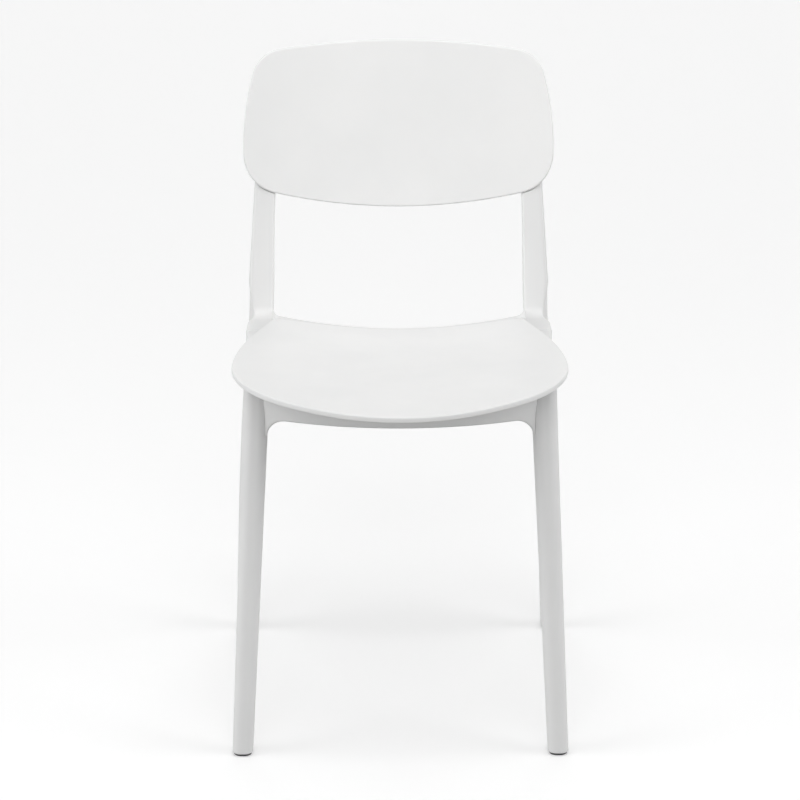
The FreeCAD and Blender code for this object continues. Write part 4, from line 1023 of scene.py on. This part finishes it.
# %% Side rail
SIDE_START = np.array([FRONT_LUG_X, FRONT_LUG_TIP + CLEARANCE])
SIDE_END = np.array([REAR_LUG_X, REAR_LUG_TIP - CLEARANCE])
SIDE_LENGTH = np.hypot(*(SIDE_END - SIDE_START))
SIDE_ALONG = (SIDE_END - SIDE_START) / SIDE_LENGTH
SIDE_WIDTH, SIDE_EDGE, SIDE_SOLID_END = 22.0, 3.0, 24.0
SIDE_RIBS, SIDE_SCREWS = (0.36, 0.5, 0.64), (0.25, 0.75)
COLUMN_RADIUS, COLUMN_SETBACK = 6.9, 8.8     # round a seat screw


def side_rail(x, y, z):
    """Bar between the arms, less the seat's room and a hollow with ribs and screw columns."""
    along = (x - SIDE_START[0]) * SIDE_ALONG[0] + (y - SIDE_START[1]) * SIDE_ALONG[1]
    across = np.abs((x - SIDE_START[0]) * SIDE_ALONG[1] - (y - SIDE_START[1]) * SIDE_ALONG[0])
    rail = both(across - SIDE_WIDTH / 2, RAIL_BOTTOM - z, SIDE_EDGE)
    rail = both(rail, np.maximum(SIDE_START[1] - y, y - SIDE_END[1]), 0.5)
    rail = without(both(rail, z - LUG_TOP, LUG_EDGE), seat_room(x, y, z), 0.4)
    middle = np.abs(along - SIDE_LENGTH / 2) - (SIDE_LENGTH / 2 - SIDE_SOLID_END)
    hollow = both(across - SIDE_WIDTH / 2 + CHANNEL_WALL, middle, CHANNEL_ROUND)
    hollow = both(hollow, z - CHANNEL_ROOF, CHANNEL_ROUND)
    for share in SIDE_RIBS:
        rib_gap = np.abs(along - share * SIDE_LENGTH) - CROSS_RIB_HALF
        ribs = both(rib_gap, RAIL_BOTTOM + CROSS_RIB_SETBACK - z, CROSS_RIB_ROUND)
        hollow = without(hollow, ribs, HOLLOW_RIB_EDGE)
    for share in SIDE_SCREWS:
        column = np.hypot(along - share * SIDE_LENGTH, across) - COLUMN_RADIUS
        hollow = without(hollow, np.maximum(column, RAIL_BOTTOM + COLUMN_SETBACK - z), 1.0)
    return without(rail, hollow, HOLLOW_EDGE)


def side_grid(u, v, w):
    """Rows along the rail: u runs along it and v across."""
    x = SIDE_START[0] + SIDE_ALONG[0] * u + SIDE_ALONG[1] * v
    return x, SIDE_START[1] + SIDE_ALONG[1] * u - SIDE_ALONG[0] * v, w


left_rail = skin(
    side_rail,
    np.linspace(-3.0, SIDE_LENGTH + 3.0, 130),
    np.arange(-13.2, 13.5, 1.1),
    np.arange(RAIL_BOTTOM - 2.4, 475.0, 1.2),
    side_grid,
)
for side, part in (("left", left_rail), ("right", mirrored(left_rail))):
    add_piece(side + "_side_rail_channel", *part, frame_plastic, "frame_plastic", [side + "_side_rail"])

# %% [markdown]
# ## Glides, pads and caps
# The small parts are stacks of rings too. A glide is a disc of the leg's outline with a chamfered tread;
# a stacking pad is a rounded rubber block; a cap is a shallow dome.

# %% Small parts
def rounded_ring(half_x, half_y, radius, count=12):
    """Plan of a rounded rectangle about its middle."""
    sides = []
    for sx, sy, turn in ((1, 1, 0.0), (-1, 1, 0.5), (-1, -1, 1.0), (1, -1, 1.5)):
        corner = (sx * (half_x - radius), sy * (half_y - radius))
        sides.append(arc(corner, radius, turn * np.pi, (turn + 0.5) * np.pi, count))
    return np.vstack(sides)


def plug(half_x, half_y, radius, levels, place):
    """Rings of a rounded rectangle at (inset, height) levels."""
    rings = []
    for inset, height in levels:
        ring = rounded_ring(half_x - inset, half_y - inset, max(radius - inset, 0.4))
        rings.append(place(ring, height))
    return stacked(rings)


# %% Glides
GLIDE_INSET, GLIDE_DEEPER, REAR_GLIDE_RADIUS = 1.6, 0.8, 6.9
GLIDE_TOP = GLIDE_HEIGHT + 0.1
TREAD = ((6.0, 0.0), (1.6, 0.0), (0.8, 0.15), (0.25, 0.6), (0.0, 1.3), (0.0, 2.8), (0.3, GLIDE_TOP))


def left_glide(front):
    """Disc a little inside the leg's outline at the foot."""
    z = GLIDE_HEIGHT
    if front:
        x, y = front_leg_x(z), (front_leg_front(z) + front_leg_back(z)) / 2
        half_x = front_leg_width(z) / 2 - GLIDE_INSET
        half_y, radius = half_x + GLIDE_DEEPER, 2 * ROUNDNESS * half_x
    else:
        x, y = (rear_inner(z) + rear_outer(z)) / 2, (post_front(z) + post_back(z)) / 2
        half_x = (rear_outer(z) - rear_inner(z)) / 2 - GLIDE_INSET
        half_y, radius = (post_back(z) - post_front(z)) / 2 - GLIDE_INSET, REAR_GLIDE_RADIUS

    def place(ring, height):
        return np.column_stack([ring + [x, y], np.full(len(ring), height)])

    return plug(half_x, half_y, radius, TREAD, place)


# %% Stacking pads
PAD_HALF_WIDTH, PAD_HALF_LENGTH, PAD_RADIUS = 5.5, 10.0, 3.6
PAD_FROM_END, PAD_DROP = 12.0, 3.0
PAD = ((4.0, 0.0), (1.2, 0.0), (0.35, 0.35), (0.0, 1.2), (0.0, 2.8), (0.3, 3.2))


def left_pad(at):
    """Block along the side rail, hanging below it."""
    middle = SIDE_START + SIDE_ALONG * at
    turn = np.array([[SIDE_ALONG[1], -SIDE_ALONG[0]], SIDE_ALONG])

    def place(ring, height):
        return np.column_stack([ring @ turn + middle, np.full(len(ring), RAIL_BOTTOM - PAD_DROP + height)])

    return plug(PAD_HALF_WIDTH, PAD_HALF_LENGTH, PAD_RADIUS, PAD, place)


for side, turned in (("left", lambda part: part), ("right", mirrored)):
    for end in ("front", "rear"):
        name = side + "_" + end
        glide, glide_node = turned(left_glide(end == "front")), [name + "_glide"]
        add_piece(name + "_floor_glide", *glide, glide_plastic, "glide", glide_node)
        at = PAD_FROM_END if end == "front" else SIDE_LENGTH - PAD_FROM_END
        add_piece(name + "_pad", *turned(left_pad(at)), pad_rubber, "pad", [name + "_stacking_pad"])

# %% Screw caps
CAP_SINK, CAP_SIDES = 3.0, 40
DOME = ((4.0, 0.0), (4.6, 0.0), (4.6, 1.9), (4.35, 2.35), (3.7, 2.6), (2.2, 2.85), (0.9, 2.95))


def cap(z):
    """Dome set into the back of the post: circles of (radius, height)."""
    x, y = (rear_inner(z) + rear_outer(z)) / 2, post_back(z) - CAP_SINK
    a = np.linspace(0, 2 * np.pi, CAP_SIDES, endpoint=False)
    return stacked(
        [np.column_stack([x + r * np.cos(a), np.full(CAP_SIDES, y + h), z + r * np.sin(a)]) for r, h in DOME]
    )


caps = [cap(z) for z in CAP_Z]
caps = joined(caps + [mirrored(c) for c in caps])
add_piece("screw_caps", *caps, cap_plastic, "cap_plastic", ["backrest_screw_caps"])

# %% [markdown]
# ## Floor, light and camera
# A white chair on a white floor is hard to light: too much light from all sides and its shape is lost.
# So the room works like a light tent: pale walls, a dimmer roof, and little light from below. Two broad
# soft suns low at the sides model the round legs, weaker ones stand in front and behind, a low one looks
# in under the seat, and a small softbox over the chair brightens the back panel more than the legs. The
# floor is a lit sweep: it glows a little by itself, and diffuse rays don't see it, so it doesn't fill the
# shadows under the seat.

# %% Floor
FLOOR_TINT, FLOOR_GLOW = (0.92, 0.92, 0.92, 1.0), 0.26


def lit_sweep(half=30.0):
    """Square floor at height zero, pale, with a faint glow of its own."""
    mesh = bpy.data.meshes.new("floor")
    corners = [(-half, -half, 0), (half, -half, 0), (half, half, 0), (-half, half, 0)]
    mesh.from_pydata(corners, [], [(0, 1, 2, 3)])
    floor = bpy.data.objects.new("floor", mesh)
    bpy.context.scene.collection.objects.link(floor)
    floor.visible_diffuse = False
    material = bpy.data.materials.new("pale_floor")
    material.use_nodes = True
    shader = material.node_tree.nodes["Principled BSDF"]
    shader.inputs["Base Color"].default_value = FLOOR_TINT
    shader.inputs["Roughness"].default_value = 0.8
    shader.inputs["Emission Color"].default_value = (1.0, 1.0, 1.0, 1.0)
    shader.inputs["Emission Strength"].default_value = FLOOR_GLOW
    mesh.materials.append(material)


lit_sweep()
print("floor laid")


# %% Lights
# name, strength, angle that it spreads over, azimuth, elevation
SUNS = (
    ("front_sun", 0.24, 40.0, 0.0, 20.0),
    ("high_sun", 0.26, 40.0, 0.0, 45.0),
    ("left_sun", 1.01, 40.0, 80.0, 20.0),
    ("right_sun", 0.98, 40.0, -80.0, 20.0),
    ("rear_sun", 0.40, 50.0, 180.0, 30.0),
    ("low_sun", 0.32, 20.0, -50.0, 4.0),
)
SOFTBOX_POWER, SOFTBOX_SIZE, SOFTBOX_ELEVATION = 4.2, (1.2, 0.8), 75.0
SOFTBOX_AIM, SOFTBOX_DISTANCE = Vector((0.0, 0.0, 0.5)), 1.14


def towards(azimuth, elevation):
    """Unit direction out from the chair: azimuth 0 is the front, 90 the sitter's left."""
    a, e = math.radians(azimuth), math.radians(elevation)
    return Vector((math.sin(a) * math.cos(e), -math.cos(a) * math.cos(e), math.sin(e)))


def lamp(name, kind, strength, azimuth, elevation):
    """Light that faces the chair from a direction."""
    light = bpy.data.lights.new(name, kind)
    light.energy = strength
    holder = bpy.data.objects.new(name, light)
    holder.rotation_euler = towards(azimuth, elevation).to_track_quat("Z", "Y").to_euler()
    bpy.context.scene.collection.objects.link(holder)
    return holder


for name, strength, spread, azimuth, elevation in SUNS:
    lamp(name, "SUN", strength, azimuth, elevation).data.angle = math.radians(spread)

softbox = lamp("softbox", "AREA", SOFTBOX_POWER, 0.0, SOFTBOX_ELEVATION)
softbox.data.shape = "RECTANGLE"
softbox.data.size, softbox.data.size_y = SOFTBOX_SIZE
softbox.location = SOFTBOX_AIM + towards(0.0, SOFTBOX_ELEVATION) * SOFTBOX_DISTANCE
softbox.visible_camera = False

# %% Tent
world = bpy.data.worlds.new("tent")
bpy.context.scene.world = world
world.use_nodes = True
tent = world.node_tree
height = tent.nodes.new("ShaderNodeSeparateXYZ")
tent.links.new(tent.nodes.new("ShaderNodeTexCoord").outputs["Generated"], height.inputs[0])
share = range_node(tent, height.outputs["Z"], 0.0, 1.0, -1.0, 1.0)
BELOW, WALL, ROOF = (0.185,) * 3, (0.93,) * 3, (0.27,) * 3
brightness = ramp_node(tent, share, [(0.49, BELOW), (0.5, WALL), (0.61, WALL), (0.70, ROOF)])
tent.links.new(brightness, tent.nodes["Background"].inputs["Color"])
bpy.context.scene.view_settings.view_transform = "Standard"
print("tent: wall %.2f, roof %.2f, below %.2f" % (WALL[0], ROOF[0], BELOW[0]))

# %% Camera
AZIMUTH, ELEVATION, DISTANCE = -0.4, 17.7, 3.0
SENSOR_WIDTH, LENS = 36.0, 107.9
TARGET = Vector((0.0, -0.022, 0.41))
camera_data = bpy.data.cameras.new("camera")
camera = bpy.data.objects.new("camera", camera_data)
bpy.context.scene.collection.objects.link(camera)
away = towards(AZIMUTH, ELEVATION)
camera.location = TARGET + away * DISTANCE
camera.rotation_euler = away.to_track_quat("Z", "Y").to_euler()
camera_data.sensor_width = SENSOR_WIDTH
camera_data.lens = LENS
camera_data.shift_x, camera_data.shift_y = 0.0004, 0.001
bpy.context.scene.camera = camera
print("camera %.1f m away, %.1f degrees up" % (DISTANCE, ELEVATION))

# %% Triangle count
print("triangles:", sum(made.values()))
